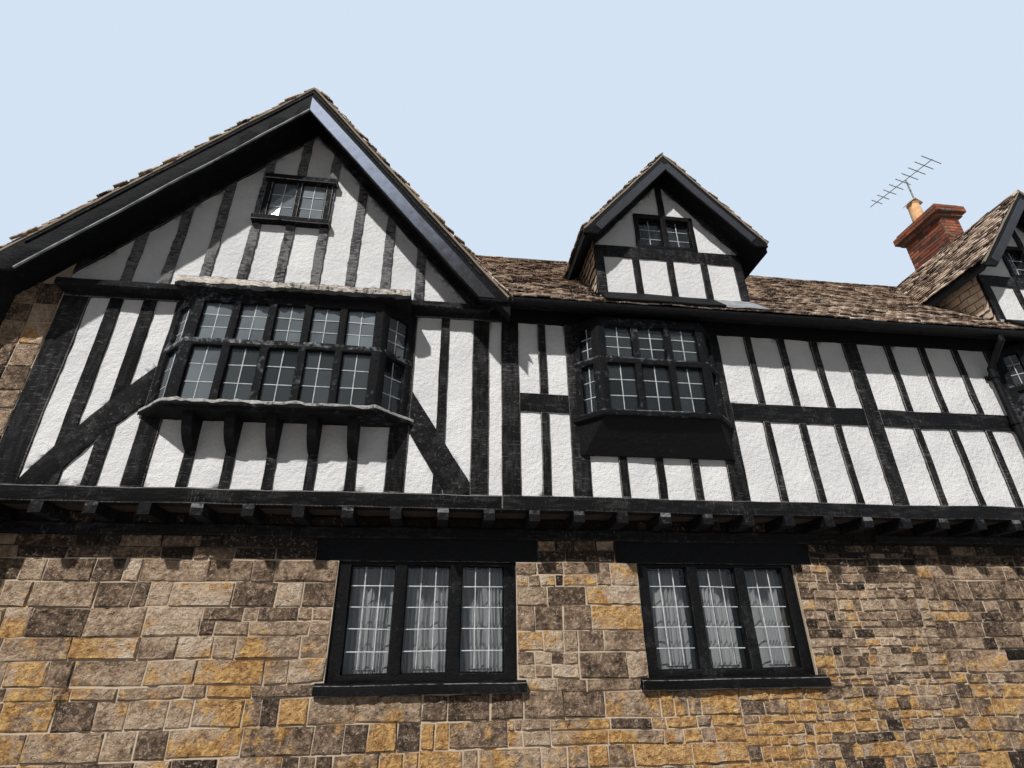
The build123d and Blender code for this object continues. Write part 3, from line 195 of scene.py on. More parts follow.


# %% [markdown]
# ## Stone and mortar
#
# The walls are ironstone: brown and grey blocks with some that have weathered to ochre and
# orange. Each block carries a tone of its own, and a ramp turns the tone into its colour. Slow
# noise stains whole patches of wall, and finer noise gives the pitted face, with painted shade in
# its pits and painted highlights on its chips. A tone below zero is painted shade, nearly black.
# The joints between the blocks are the wall behind them, in lime mortar. Rust in the stone has
# turned patches of it gold, so gold comes from a noise of its own that a block's tone only pushes
# up or down.

# %% Stone and mortar
def make_stone():
    finish = Finish("ironstone", (0.3, 0.22, 0.15))
    tone = finish.tone()
    stain = finish.noise(0.9, 3)
    blotch = finish.noise(6, 4, 0.6)
    mottle = finish.noise(17, 5, 0.72)
    grain = finish.noise(60, 4, 0.75)
    fold = finish.noise(11, 5, 0.6) - 0.5
    ridge = 1 - fold * fold * 20
    shade = tone + (stain - 0.5) * 0.3 + (blotch - 0.5) * 0.8 + (mottle - 0.5) * 1.1
    colour = finish.ramp(shade, [
        (0.0, (0.055, 0.036, 0.026)),
        (0.22, (0.190, 0.128, 0.088)),
        (0.42, (0.440, 0.305, 0.205)),
        (0.6, (0.680, 0.500, 0.350)),
        (0.8, (0.860, 0.680, 0.510)),
        (1.0, (0.930, 0.800, 0.650)),
    ])
    # Painted highlights: pale chips speckle the face.
    chips = finish.noise(34, 4, 0.85)
    colour = finish.mix(chips.rise(0.56, 0.63) * 0.6, colour, (0.92, 0.80, 0.64))
    height = finish.node("SeparateXYZ", None, {0: finish.place()}, output="Z")
    lower = (height * -1).rise(-1.9, -0.8) * 0.14
    rust = (finish.noise(2.6, 4, 0.7) + (tone - 0.5) * 0.52 + (mottle - 0.5) * 0.32 + lower).rise(0.59, 0.71)
    gold = finish.mix(mottle.rise(0.35, 0.65), (0.46, 0.205, 0.060), (0.98, 0.60, 0.21))
    colour = finish.mix(rust * 0.88, colour, gold)
    # Painted shade: the pits of the grain noise are coloured nearly black.
    colour = finish.mix(grain.rise(0.33, 0.42), (0.030, 0.020, 0.014), colour)
    lichen = (finish.noise(34, 5, 0.75) + (blotch - 0.5) * 0.3).rise(0.61, 0.70)
    colour = finish.mix(lichen * 0.55, colour, (0.47, 0.42, 0.34))
    # A tone below zero paints the stone nearly black, as painted shade under the jetty.
    colour = finish.mix((tone * -1).rise(0.0, 0.35) * 0.9, colour, (0.009, 0.006, 0.004))
    return finish.surface({
        "Base Color": colour,
        "Roughness": 0.92,
        "Specular IOR Level": 0.2,
        "Normal": finish.bump(ridge * 0.35 + mottle * 0.35 + chips * 0.3, 0.14),
    })


def make_mortar(name, pale, dull, painted_shade_above=50.0):
    finish = Finish(name, pale)
    sand = finish.noise(70, 3, 0.7)
    patch = finish.noise(2.3, 3)
    colour = finish.mix(sand * 0.5 + patch * 0.5, dull, pale)
    height = finish.node("SeparateXYZ", None, {0: finish.place()}, output="Z")
    # Above the given height the mortar is painted nearly black, as painted shade.
    colour = finish.mix(height.rise(painted_shade_above, painted_shade_above + 0.2), colour, (0.014, 0.010, 0.008))
    return finish.surface({
        "Base Color": colour,
        "Roughness": 0.95,
        "Specular IOR Level": 0.2,
        "Normal": finish.bump(sand, 0.008),
    })


ironstone = make_stone()
lime_mortar = make_mortar("lime_mortar", (0.66, 0.55, 0.42), (0.38, 0.29, 0.21))
# The street mortar is painted dark under the jetty, as painted shade.
street_mortar = make_mortar("street_mortar", (0.70, 0.58, 0.45), (0.40, 0.31, 0.22), painted_shade_above=2.42)
pale_mortar = make_mortar("pale_mortar", (0.70, 0.66, 0.57), (0.42, 0.37, 0.30))
verge_mortar = make_mortar("verge_mortar", (0.36, 0.31, 0.24), (0.15, 0.12, 0.09))
stack_mortar = make_mortar("stack_mortar", (0.20, 0.16, 0.13), (0.08, 0.06, 0.05))
print("stone and mortar made")

# %% [markdown]
# ## Oak
#
# The frame is hewn oak under old black paint. The paint has worn to grey along the grain, and
# rows of pale flecks run across it where the axe left its marks. Posts and beams need their
# grain in different directions, so the same recipe takes the direction as the stretch of its
# coordinates. Every rounded arris and weathered top edge carries a tone, and there the recipe
# wears the paint off; on the arrises this pale wood is also a painted highlight along the edges.
# The joinery's grey is blue, a painted sheen of the sky on its planed faces.

# %% Oak
def make_black_oak(name, stretch, turn=(0, 0, 0), wear=0.5, bare=(0.30, 0.285, 0.27), grey=(0.032, 0.032, 0.034)):
    finish = Finish(name, (0.03, 0.03, 0.03))
    tone = finish.tone()
    grain = finish.noise(24, 4, 0.65, finish.place(stretch, turn))
    marks = finish.noise(9, 5, 0.75, finish.place([1.5 / side for side in stretch], turn))
    patch = finish.noise(1.7, 3)
    worn = (grain + patch * 0.5 + (tone + wear) * 0.3).rise(0.84, 1.10)
    colour = finish.mix(worn, (0.0055, 0.0055, 0.0060), grey)
    # On the arrises the bared wood is also a painted highlight along the edges.
    colour = finish.mix(tone.rise(0.3, 1.0) * worn * 0.75, colour, bare)
    flecks = (marks + (patch - 0.5) * 0.35 + tone * 0.26 + (wear - 0.5) * 0.26).rise(0.58, 0.68)
    colour = finish.mix(flecks * (0.30 + tone * 0.5), colour, bare)
    return finish.surface({
        "Base Color": colour,
        "Roughness": 0.6 + worn * 0.25,
        "Specular IOR Level": 0.08,
        "Normal": finish.bump(grain * 0.45 + marks * 0.55, 0.03),
    })


def make_bare_oak(name, pale, dark, stretch):
    finish = Finish(name, pale)
    grain = finish.noise(16, 5, 0.7, finish.place(stretch))
    patch = finish.noise(5, 4, 0.6)
    colour = finish.mix((grain * 0.6 + patch * 0.4).rise(0.38, 0.62), dark, pale)
    return finish.surface({
        "Base Color": colour,
        "Roughness": 0.85,
        "Specular IOR Level": 0.25,
        "Normal": finish.bump(grain, 0.012),
    })


upright_oak = make_black_oak("upright_oak", (1, 1, 0.22), wear=0.6)
level_oak = make_black_oak("level_oak", (0.22, 1, 1), wear=0.45)
sloping_oak = make_black_oak("sloping_oak", (0.5, 1, 0.5), wear=0.5)
flaked_oak = make_black_oak("flaked_oak", (1, 1, 0.3), wear=1.05, bare=(0.50, 0.49, 0.48), grey=(0.085, 0.085, 0.090))
end_oak = make_black_oak("end_oak", (1, 1, 1), wear=0.3, bare=(0.24, 0.24, 0.25), grey=(0.035, 0.035, 0.038))
painted_oak = make_black_oak("painted_oak", (0.5, 0.5, 0.5), wear=0.2)
# The joinery's blue-grey is a painted sheen of the sky on its planed faces, over worn paint.
sky_sheen_joinery_oak = make_black_oak("sky_sheen_joinery_oak", (0.6, 0.6, 0.6), wear=0.15, bare=(0.50, 0.48, 0.45), grey=(0.110, 0.120, 0.136))
soot_oak = make_black_oak("soot_oak", (0.6, 0.6, 0.6), wear=0.0)
hood_oak = make_black_oak("hood_oak", (1.2, 0.45, 0.45), wear=0.3, bare=(0.82, 0.74, 0.66))
# The fillets' pale blue-grey is a painted highlight where they catch the light.
painted_highlight_oak = make_bare_oak("painted_highlight_oak", (0.36, 0.38, 0.40), (0.12, 0.125, 0.13), (0.3, 0.3, 0.3))
def make_fascia_oak(name, pale):
    finish = Finish(name, pale)
    height = finish.node("SeparateXYZ", None, {0: finish.place()}, output="Z")
    grain = finish.noise(24, 4, 0.65, finish.place((0.4, 1, 0.4)))
    # Painted sheen: pale towards the apex, black again at the foot.
    painted_sheen = (height + (grain - 0.5) * 1.2).rise(5.2, 8.1)
    return finish.surface({
        "Base Color": finish.mix(painted_sheen, (0.014, 0.014, 0.016), pale),
        "Roughness": 0.7,
        "Specular IOR Level": 0.2,
        "Normal": finish.bump(grain, 0.01),
    })


fascia_oak = make_fascia_oak("fascia_oak", (0.38, 0.44, 0.58))
dark_fascia_oak = make_fascia_oak("dark_fascia_oak", (0.042, 0.045, 0.055))
# Painted shade: the floor boards are coloured dark, since they are seen only under the jetty.
floor_oak = make_bare_oak("floor_oak", (0.045, 0.030, 0.021), (0.02, 0.014, 0.010), (0.12, 1, 1))
print("oak made")

# %% [markdown]
# ## Plaster
#
# The panels between the timbers are rough lime plaster, white, with faint grey washes. Its
# lumps are 2 to 5 cm across, so they are cut into the mesh where they are large, and left to a
# bump where they are small.

# %% Plaster
def make_plaster():
    finish = Finish("limewash", (0.8, 0.8, 0.79))
    wash = finish.noise(1.6, 4, 0.6)
    lumps = finish.noise(19, 4, 0.6)
    grit = finish.noise(85, 3, 0.6)
    colour = finish.mix(wash.rise(0.3, 0.7), (0.67, 0.67, 0.68), (0.78, 0.78, 0.77))
    colour = finish.mix(grit.rise(0.62, 0.74) * 0.4, colour, (0.50, 0.50, 0.50))
    return finish.surface({
        "Base Color": colour,
        "Roughness": 0.93,
        "Specular IOR Level": 0.2,
        "Normal": finish.bump(lumps * 0.65 + grit * 0.35, 0.024),
    })


limewash = make_plaster()
print("plaster made")

# %% [markdown]
# ## Clay, brick and lead
#
# Plain clay tiles are brown and red, darker with age, and lichen has settled on them in pale
# flecks. Bricks vary from orange to plum. Both read the tone of their own tile or brick.

# %% Clay, brick and lead
def make_clay_tile(name, lift=0.0):
    """Each tile has its own tone, and its lichen starts from a place of its own."""
    finish = Finish(name, (0.2, 0.13, 0.09))
    patch = finish.noise(1.3, 3)
    mottle = finish.noise(30, 4, 0.7)
    tone = finish.tone()
    # lift brightens the whole finish, as painted light.
    shade = (tone - 0.5) * 1.5 + 0.5 + lift + (patch - 0.5) * 0.35 + (mottle - 0.5) * 0.5
    colour = finish.ramp(shade, [
        (0.0, (0.035, 0.024, 0.020)),
        (0.25, (0.095, 0.060, 0.045)),
        (0.5, (0.220, 0.146, 0.105)),
        (0.75, (0.420, 0.300, 0.220)),
        (1.0, (0.600, 0.480, 0.370)),
    ])
    own = finish.node("VectorMath", {"operation": "ADD"}, {0: finish.place((1, 0.45, 0.45)), 1: tone * 60}, output=0)
    lichen = (finish.noise(26, 4, 0.75, own) + (tone - 0.5) * 0.12).rise(0.53, 0.58)
    colour = finish.mix(lichen * 0.85, colour, (0.72, 0.63, 0.53))
    return finish.surface({
        "Base Color": colour,
        "Roughness": 0.92,
        "Specular IOR Level": 0.15,
        "Normal": finish.bump(mottle, 0.014),
    })


def make_brick():
    finish = Finish("red_brick", (0.4, 0.15, 0.08))
    mottle = finish.noise(24, 4, 0.7)
    soot = finish.noise(4.5, 4, 0.7).rise(0.44, 0.66)
    colour = finish.ramp(finish.tone() + (mottle - 0.5) * 0.5, [
        (0.0, (0.060, 0.028, 0.024)),
        (0.4, (0.200, 0.062, 0.038)),
        (0.75, (0.380, 0.110, 0.052)),
        (1.0, (0.520, 0.220, 0.120)),
    ])
    colour = finish.mix(soot * 0.55, colour, (0.055, 0.042, 0.036))
    lichen = (finish.noise(9, 4, 0.7) + (finish.noise(60, 2) - 0.5) * 0.2).rise(0.57, 0.66)
    colour = finish.mix(lichen * 0.5, colour, (0.36, 0.33, 0.25))
    return finish.surface({
        "Base Color": colour,
        "Roughness": 0.88,
        "Specular IOR Level": 0.25,
        "Normal": finish.bump(mottle, 0.008),
    })


def make_plain(name, pale, dark, scale, rough, metal=0.0, depth=0.002, sheen=0.4):
    """A finish with one even colour that age has mottled."""
    finish = Finish(name, pale)
    mottle = finish.noise(scale, 4, 0.6)
    return finish.surface({
        "Base Color": finish.mix(mottle.rise(0.35, 0.65), dark, pale),
        "Metallic": metal,
        "Roughness": mottle * 0.25 + (rough - 0.12),
        "Specular IOR Level": sheen,
        "Normal": finish.bump(mottle, depth),
    })


clay_tile = make_clay_tile("clay_tile")
# A lighter copy of the clay for the cheek tiles, as painted light.
painted_light_clay_tile = make_clay_tile("painted_light_clay_tile", 1.0)
red_brick = make_brick()
buff_clay = make_plain("buff_clay", (0.88, 0.54, 0.29), (0.66, 0.37, 0.18), 14, 0.85)
old_lead = make_plain("old_lead", (0.36, 0.37, 0.38), (0.22, 0.225, 0.23), 11, 0.6, 0.35, 0.004)
came_lead = make_plain("came_lead", (0.62, 0.63, 0.64), (0.42, 0.43, 0.44), 20, 0.6)
painted_iron = make_plain("painted_iron", (0.011, 0.011, 0.012), (0.004, 0.004, 0.004), 18, 0.5, sheen=0.08)
stay_iron = make_plain("stay_iron", (0.05, 0.05, 0.052), (0.02, 0.02, 0.02), 30, 0.5, 0.5)
dull_alloy = make_plain("dull_alloy", (0.24, 0.24, 0.25), (0.13, 0.13, 0.135), 20, 0.6, 0.3)
flagstone = make_plain("flagstone", (0.42, 0.39, 0.35), (0.27, 0.25, 0.22), 3, 0.8, 0, 0.006)
print("clay, brick and metals made")

# %% [markdown]
# ## Glass and net
#
# Old window glass is dark from the street, because the rooms behind it are darker than the sky
# in front, yet a curtain close behind it shows. An alpha below one does both: what is behind
# comes through, darkened, and the pane keeps a gloss of its own. Each pane also carries a tone
# for a reflection of the sky that is painted into its colour and thickens its alpha; it is set
# for each window, and hand-made panes never lie quite alike, so it varies a little from pane to
# pane. The net is a thin cloth of fine threads.

# %% Glass and net
def make_glass():
    finish = Finish("old_glass", (0.1, 0.12, 0.13))
    tone = finish.tone()
    # Painted reflection: the pane's colour turns from dark to sky blue-grey with its tone.
    sky = tone * (0.75 + finish.noise(2.5, 2) * 0.5)
    finish.material.surface_render_method = "BLENDED"
    return finish.surface({
        "Base Color": finish.mix(sky, (0.006, 0.008, 0.008), (0.34, 0.39, 0.42)),
        "Roughness": 0.08,
        "IOR": 1.5,
        "Alpha": 0.30 + tone * 0.7,
    })


def make_net():
    finish = Finish("white_net", (0.82, 0.83, 0.82))
    threads = finish.node("TexWave", {"bands_direction": "X"}, {
        "Vector": finish.node("UVMap"), "Scale": 60, "Distortion": 0.4,
    })
    return finish.surface({
        "Base Color": finish.mix(threads * 0.35, (0.86, 0.88, 0.89), (0.70, 0.73, 0.76)),
        "Roughness": 0.9,
        "Normal": finish.bump(threads, 0.0006),
    })


old_glass = make_glass()
white_net = make_net()
print("glass and net made")

# %% [markdown]
# ## Helpers for pieces
#
# Every piece is made in a bmesh and then handed over: it becomes a mesh, gets its material, and
# is told which body it rides on. Blocks, tiles, bricks and bars all start as unit cubes, each in
# a place of its own given by a matrix, and carry a tone on their faces.

# %% Helpers for pieces
def new_shape():
    shape = bmesh.new()
    shape.faces.layers.float.new("tone")
    return shape


def block(shape, place, tone=0.5):
    """Adds a unit cube at a place and notes its tone."""
    corners = bmesh.ops.create_cube(shape, size=1, matrix=place)["verts"]
    layer = shape.faces.layers.float["tone"]
    for face in {face for corner in corners for face in corner.link_faces}:
        face[layer] = tone
    return corners


def bar(shape, start, end, side, wide, thick, tone=0.5):
    """A straight bar; wide is measured along side, thick across it."""
    start, end, side = Vector(start), Vector(end), Vector(side).normalized()
    run = (end - start).normalized()
    axes = Matrix((run, side, run.cross(side))).transposed().to_4x4()
    size = Matrix.Diagonal(((end - start).length, wide, thick, 1))
    return block(shape, Matrix.Translation((start + end) / 2) @ axes @ size, tone)


def ring(shape, centre, radius, thick, turn=0.0, tilt=0.0, steps=20):
    """A round bar bent to a ring, level when tilt is 0; turn is how much of it there is."""
    place = Matrix.Translation(centre) @ Matrix.Rotation(tilt, 4, "Y")
    section = Matrix.Translation((radius, 0, 0)) @ Matrix.Rotation(pi / 2, 4, "X")
    points = bmesh.ops.create_circle(shape, segments=8, radius=thick, matrix=place @ section)["verts"]
    sides = {edge for point in points for edge in point.link_edges}
    bmesh.ops.spin(
        shape, geom=[*points, *sides], cent=place.translation, axis=place.to_3x3() @ Vector((0, 0, 1)),
        angle=turn or 2 * pi, steps=steps, use_merge=not turn,
    )


def box_place(low, high):
    """The place of a unit cube that fills the box between two corners."""
    low, high = Vector(low), Vector(high)
    size = high - low
    return Matrix.Translation((low + high) / 2) @ Matrix.Diagonal((*size, 1))


def round_edges(shape, width, segments=1, sharper_than=0, wear=None):
    """Bevels the edges sharper than an angle in degrees; wear is the tone of the new faces."""
    edges = [e for e in shape.edges if e.is_manifold and e.calc_face_angle() > radians(sharper_than)]
    made = bmesh.ops.bevel(
        shape, geom=edges, offset=width, offset_type="OFFSET", segments=segments,
        profile=0.5, affect="EDGES", clamp_overlap=True, material=-1,
    )
    if wear is not None:
        layer = shape.faces.layers.float["tone"]
        for face in made["faces"]:
            face[layer] = wear


def hand_over(name, shape, material, stands_for=(), smooth=None):
    """Turns a shape into a finished piece of the house."""
    mesh = bpy.data.meshes.new(name)
    shape.to_mesh(mesh)
    shape.free()
    if smooth is not None:
        mesh.shade_smooth()
        mesh.set_sharp_from_angle(angle=radians(smooth))
    mesh.materials.append(material)
    piece = bpy.data.objects.new(name, mesh)
    scene.collection.objects.link(piece)
    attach(piece, "root")
    if stands_for:
        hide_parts(*stands_for)
    print(name, len(mesh.polygons), "faces")
    return piece


def paint(material, *names):
    """Gives carried-over pieces of the construction model their finish."""
    for name in names:
        piece = nodes[name]
        for slot in piece.material_slots:
            slot.material = material
        if not piece.material_slots:
            piece.data.materials.append(material)


# %% [markdown]
# ## Laying stones
#
# A mason lays rubble in courses: a string of level beds, each filled with stones of different
# lengths. `beds` divides a height into courses. `free_runs` says which parts of a course are
# free of windows, sills and joist ends. `lay_course` fills a run with stones, and sometimes
# splits a tall course into two thin ones, as the real wall does.
#
# A wall is described by a matrix that takes (along, up, out) to its place, so the same code
# lays the front, the ends and the back. When all its blocks are down their faces are dressed in
# one go. A rock-faced block has a narrow margin, and the rest of its face is left as it split:
# an inset makes the margin, a grid is cut into what is inside it, and noise pushes the grid out.
# The block's tone shifts the noise, so that no two neighbours share their lumps.

# %% Laying stones
joint = 0.014


def beds(bottom, top, heights, rng):
    lines = [bottom]
    while lines[-1] < top - 1e-6:
        lines.append(lines[-1] + rng.choice(heights))
    stretch = (top - bottom) / (lines[-1] - bottom)
    return [bottom + (line - bottom) * stretch for line in lines]


def free_runs(left, right, bottom, top, holes):
    """Parts of a course from left to right that no hole touches."""
    runs = [(left, right)]
    for hole_left, hole_right, hole_bottom, hole_top in holes:
        if hole_top > bottom + 0.01 and hole_bottom < top - 0.01:
            cut = []
            for start, end in runs:
                cut += [(start, min(end, hole_left)), (max(start, hole_right), end)]
            runs = [(start, end) for start, end in cut if end - start > 0.04]
    return runs


def lay_course(shape, wall, left, right, bottom, top, lengths, rng, proud, tint):
    height = top - bottom
    if height > 0.2 and right - left > 0.9 and rng.random() < 0.45:
        split = left + (right - left) * rng.uniform(0.25, 0.75)
        middle = bottom + height * rng.uniform(0.42, 0.58)
        parts = [(left, split), (split, right)]
        rng.shuffle(parts)
        lay_course(shape, wall, *parts[0], bottom, middle, lengths, rng, proud, tint)
        lay_course(shape, wall, *parts[0], middle, top, lengths, rng, proud, tint)
        lay_course(shape, wall, *parts[1], bottom, top, lengths, rng, proud, tint)
        return
    stops = beds(left, right, lengths, rng)
    for start, end in zip(stops[:-1], stops[1:]):
        out = rng.uniform(0.6, 1.2) * proud
        low = (start + joint / 2, bottom + joint / 2, -0.05)
        high = (end - joint / 2, top - joint / 2, out)
        # A tone may go below zero where the tint paints the shade under the jetty.
        tone = min(1, max(-0.5, rng.gauss(tint((start + end) / 2, bottom), 0.21)))
        for corner in block(shape, wall @ box_place(low, high), tone):
            corner.co += Vector([rng.uniform(-0.005, 0.005) for _ in range(3)])


def weather_stones(shape, wall, swell, relief=0.020):
    """Gives the blocks their margins and split faces, and bends the beds a little."""
    outward = (wall.to_3x3() @ Vector((0, 0, 1))).normalized()
    faces = [f for f in shape.faces if f.normal.dot(outward) > 0.8]
    large = {f for f in faces if f.calc_area() > 0.055}
    bmesh.ops.inset_individual(shape, faces=faces, thickness=0.012, depth=0)
    for cuts, chosen in ((7, large), (4, set(faces) - large)):
        edges = {edge for face in chosen for edge in face.edges}
        bmesh.ops.subdivide_edges(shape, edges=list(edges), cuts=cuts, use_grid_fill=True)
    layer = shape.faces.layers.float["tone"]
    for vert in shape.verts:
        split = 0
        facing = [face.normal.dot(outward) > 0.8 for face in vert.link_faces]
        if all(facing):
            own = vert.co + Vector((vert.link_faces[0][layer] * 90, 0, 0))
            split = 0.35 + noise.noise(own * 5) * 0.8 + noise.noise(own * 15) * 0.8 + noise.noise(own * 37) * 0.7
        slow = noise.noise_vector(vert.co * 1.7) * swell
        quick = noise.noise_vector(vert.co * 13) * 0.010
        shift = slow + quick
        shift -= outward * min(0, shift.dot(outward))
        vert.co += shift + outward * max(split, -0.25) * relief
        if any(facing):
            vert.co += outward * max(0, 0.004 - (vert.co - wall.translation).dot(outward))
    bmesh.ops.recalc_face_normals(shape, faces=shape.faces)


def wall_place(origin, along):
    """Matrix of a wall face: along it, up, and out towards its front."""
    along, up = Vector(along), Vector((0, 0, 1))
    axes = Matrix((along, up, along.cross(up))).transposed().to_4x4()
    return Matrix.Translation(origin) @ axes


# %% [markdown]
# ### The front wall
#
# Left of the first window and between the windows the courses are tall, with long blocks. To
# the right of the second window the wall was rebuilt in small rubble, thin and brown, which
# turns to larger ochre blocks near the ground. So the wall is laid in zones, each with its own
# heights and lengths, and the holes are read from the construction model's own pieces.

# %% The front wall
front_low, front_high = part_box("front_stone_wall")
frames_low, frames_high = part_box("ground_window_frames")
window_width, window_bottom, window_top = 1.79, frames_low.z, frames_high.z
window_starts = (frames_low.x, frames_low.x + 3.09, frames_high.x - window_width)
sill_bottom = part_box("ground_window_sills")[0].z
lintel_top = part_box("ground_window_lintels")[1].z
joist_bottom = 2.79

holes = []
for start in window_starts:
    end = start + window_width
    holes.append((start, end, window_bottom, window_top))
    holes.append((start - 0.085, end + 0.085, sill_bottom, window_bottom))
    holes.append((start - 0.23, end + 0.23, window_top, lintel_top))
joist_pitch = (front_high.x - front_low.x - 0.11) / 30
for index in range(31):
    left = front_low.x + index * joist_pitch
    holes.append((left, left + 0.11, joist_bottom, 2.9))

tall, long_blocks = (0.21, 0.23, 0.25, 0.28), (0.15, 0.21, 0.26, 0.33, 0.42, 0.6)
small, short_blocks = (0.075, 0.09, 0.105, 0.125), (0.10, 0.14, 0.18, 0.25)


def front_tint(x, z):
    """Ochre below the sills, browner above them, and under the jetty a painted shade near black."""
    # Painted shade: the courses under the jetty get their tone pushed down towards black.
    painted_jetty_shade = 0.9 if z > lintel_top - 0.01 else 0.42 if z > window_top - 0.01 else 0.0
    rebuilt = x > window_starts[1] + 1.7
    return 0.50 + (0.0 if z > 1.2 else 0.14 if x > window_starts[1] else -0.05) - 0.10 * rebuilt - painted_jetty_shade


rng = random.Random(11)
front_stones, front_rubble = new_shape(), new_shape()
front_wall = wall_place((0, front_low.y, 0), (1, 0, 0))
zones = (
    (front_low.x, window_starts[0] + 0.9, tall, long_blocks, 0.005),
    (window_starts[0] + 0.9, window_starts[1] + 0.9, (0.15, 0.19, 0.24), long_blocks, 0.005),
    (window_starts[1] + 0.9, window_starts[1] + 3.3, small, short_blocks, 0.010),
    (window_starts[1] + 3.3, front_high.x, (0.12, 0.15, 0.18, 0.22), (0.18, 0.26, 0.36), 0.007),
)
for left, right, heights, lengths, proud in zones:
    levels = [0]
    for level_line in (sill_bottom, window_bottom, window_top, lintel_top, joist_bottom, 2.9):
        levels += beds(levels[-1], level_line, heights, rng)[1:]
    laid = front_rubble if left > window_starts[1] else front_stones
    for bottom, top in zip(levels[:-1], levels[1:]):
        for run in free_runs(left, right, bottom, top, holes):
            lay_course(laid, front_wall, *run, bottom, top, lengths, rng, proud, front_tint)
for name, laid in (("front_stones", front_stones), ("front_rubble", front_rubble)):
    weather_stones(laid, front_wall, 0.014)
    hand_over(name, laid, ironstone, smooth=32)

# %% [markdown]
# ### The end walls and the back wall
#
# The left end stands in front of the timber frame by its full thickness, so its front, its
# outer side and its back are all seen. The right end is the party wall, under the slope of the
# roof: a course there stops where the roof begins.

# %% The end walls and the back wall
def plain_tint(x, z):
    return 0.42


def lay_face(name, wall, left, right, bottom, top_at, heights, lengths, seed, face_holes=()):
    """One face of a wall; top_at gives the height of its top at a distance along."""
    rng = random.Random(seed)
    shape = new_shape()
    highest = max(top_at(left), top_at(right), top_at((left + right) / 2))
    breaks = sorted({line for hole in face_holes for line in hole[2:] if bottom < line < highest})
    levels = [bottom]
    for level_line in (*breaks, highest):
        levels += beds(levels[-1], level_line, heights, rng)[1:]
    for low, high in zip(levels[:-1], levels[1:]):
        steps = [left + (right - left) * step / 60 for step in range(61)]
        under = [step for step in steps if top_at(step) > (low + high) / 2]
        if under:
            for run in free_runs(min(under), max(under), low, high, face_holes):
                lay_course(shape, wall, *run, low, high, lengths, rng, 0.006, plain_tint)
    weather_stones(shape, wall, 0.012)
    return shape


def join_shapes(shapes):
    """Puts several shapes into the first one."""
    whole = shapes[0]
    for other in shapes[1:]:
        carrier = bpy.data.meshes.new("carrier")
        other.to_mesh(carrier)
        other.free()
        whole.from_mesh(carrier)
        bpy.data.meshes.remove(carrier)
    return whole


left_low, left_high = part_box("left_stone_wall")
party_low, party_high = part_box("right_party_wall")
main_slope, main_ridge, roof_drop = tan(radians(46)), 8.105, 0.22


def under_main_roof(y):
    return main_ridge - roof_drop - abs(y) * main_slope


left_top = 5.08
left_faces = [
    lay_face("outer", wall_place((left_low.x, 0, 0), (0, -1, 0)), -2.4, 2.4, 0,
             lambda s: left_top, tall, long_blocks, 21),
    lay_face("front", wall_place((0, left_low.y, 0), (1, 0, 0)), left_low.x - 0.012, left_high.x, 0,
             lambda s: left_top + 0.2, (0.2, 0.24, 0.28), (0.45,), 22),
    lay_face("return", wall_place((left_high.x, 0, 0), (0, 1, 0)), left_low.y, front_low.y, 0,
             lambda s: joist_bottom, (0.2, 0.24, 0.28), (0.4,), 23),
    lay_face("back", wall_place((0, left_high.y, 0), (-1, 0, 0)), -left_high.x, -left_low.x + 0.012,
             0, lambda s: left_top + 0.2, (0.2, 0.24, 0.28), (0.45,), 24),
]
hand_over("left_end_stones", join_shapes(left_faces), ironstone, smooth=32)

party_faces = [
    lay_face("outer", wall_place((party_high.x, 0, 0), (0, 1, 0)), -2.4, 2.4, 0,
             under_main_roof, (0.13, 0.16, 0.2, 0.25), long_blocks, 31),
    lay_face("front", wall_place((0, party_low.y, 0), (1, 0, 0)), party_low.x, party_high.x + 0.012,
             0, lambda s: 5.2, (0.2, 0.24, 0.28), (0.42,), 32),
    lay_face("return", wall_place((party_low.x, 0, 0), (0, -1, 0)), -front_low.y, -party_low.y, 0,
             lambda s: joist_bottom, (0.2, 0.24, 0.28), (0.4,), 33),
    lay_face("back", wall_place((0, party_high.y, 0), (-1, 0, 0)), -party_high.x - 0.012,
             -party_low.x, 0, lambda s: 5.2, (0.2, 0.24, 0.28), (0.42,), 34),
]
hand_over("party_end_stones", join_shapes(party_faces), ironstone, smooth=32)

door_low, door_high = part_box("rear_door")
rear_holes = [(-start - window_width, -start, window_bottom, window_top) for start in window_starts]
rear_holes.append((-door_high.x, -door_low.x, 0, door_high.z))
back_stones = lay_face("back", wall_place((0, 2.4, 0), (-1, 0, 0)), -front_high.x, -front_low.x, 0,
                       lambda s: 2.9, (0.13, 0.17, 0.22, 0.26), long_blocks, 41, rear_holes)
hand_over("back_stones", back_stones, ironstone, smooth=32)
paint(street_mortar, "front_stone_wall")
paint(lime_mortar, "rear_stone_wall", "left_stone_wall", "right_party_wall")

# %% [markdown]
# ## Roof tiles
#
# A plain tile is about 165 mm wide. Each course overlaps the one below, so only 100 mm shows,
# and the joints of one course fall in the middle of the tiles below. Every tile is a thin box
# with its tail tipped up, as it rests on the course below, and a slight camber across. There
# are thousands, so each stays at ten faces, and unevenness comes from how they lie.
#
# `covers` tells whether a slope is the upper surface at a point. Tiles that run into another
# roof are left to sink into it, and that is what makes the valleys.

# %% Roof tiles
tile_width, tile_gauge, tile_length, tile_thickness = 0.165, 0.10, 0.155, 0.015


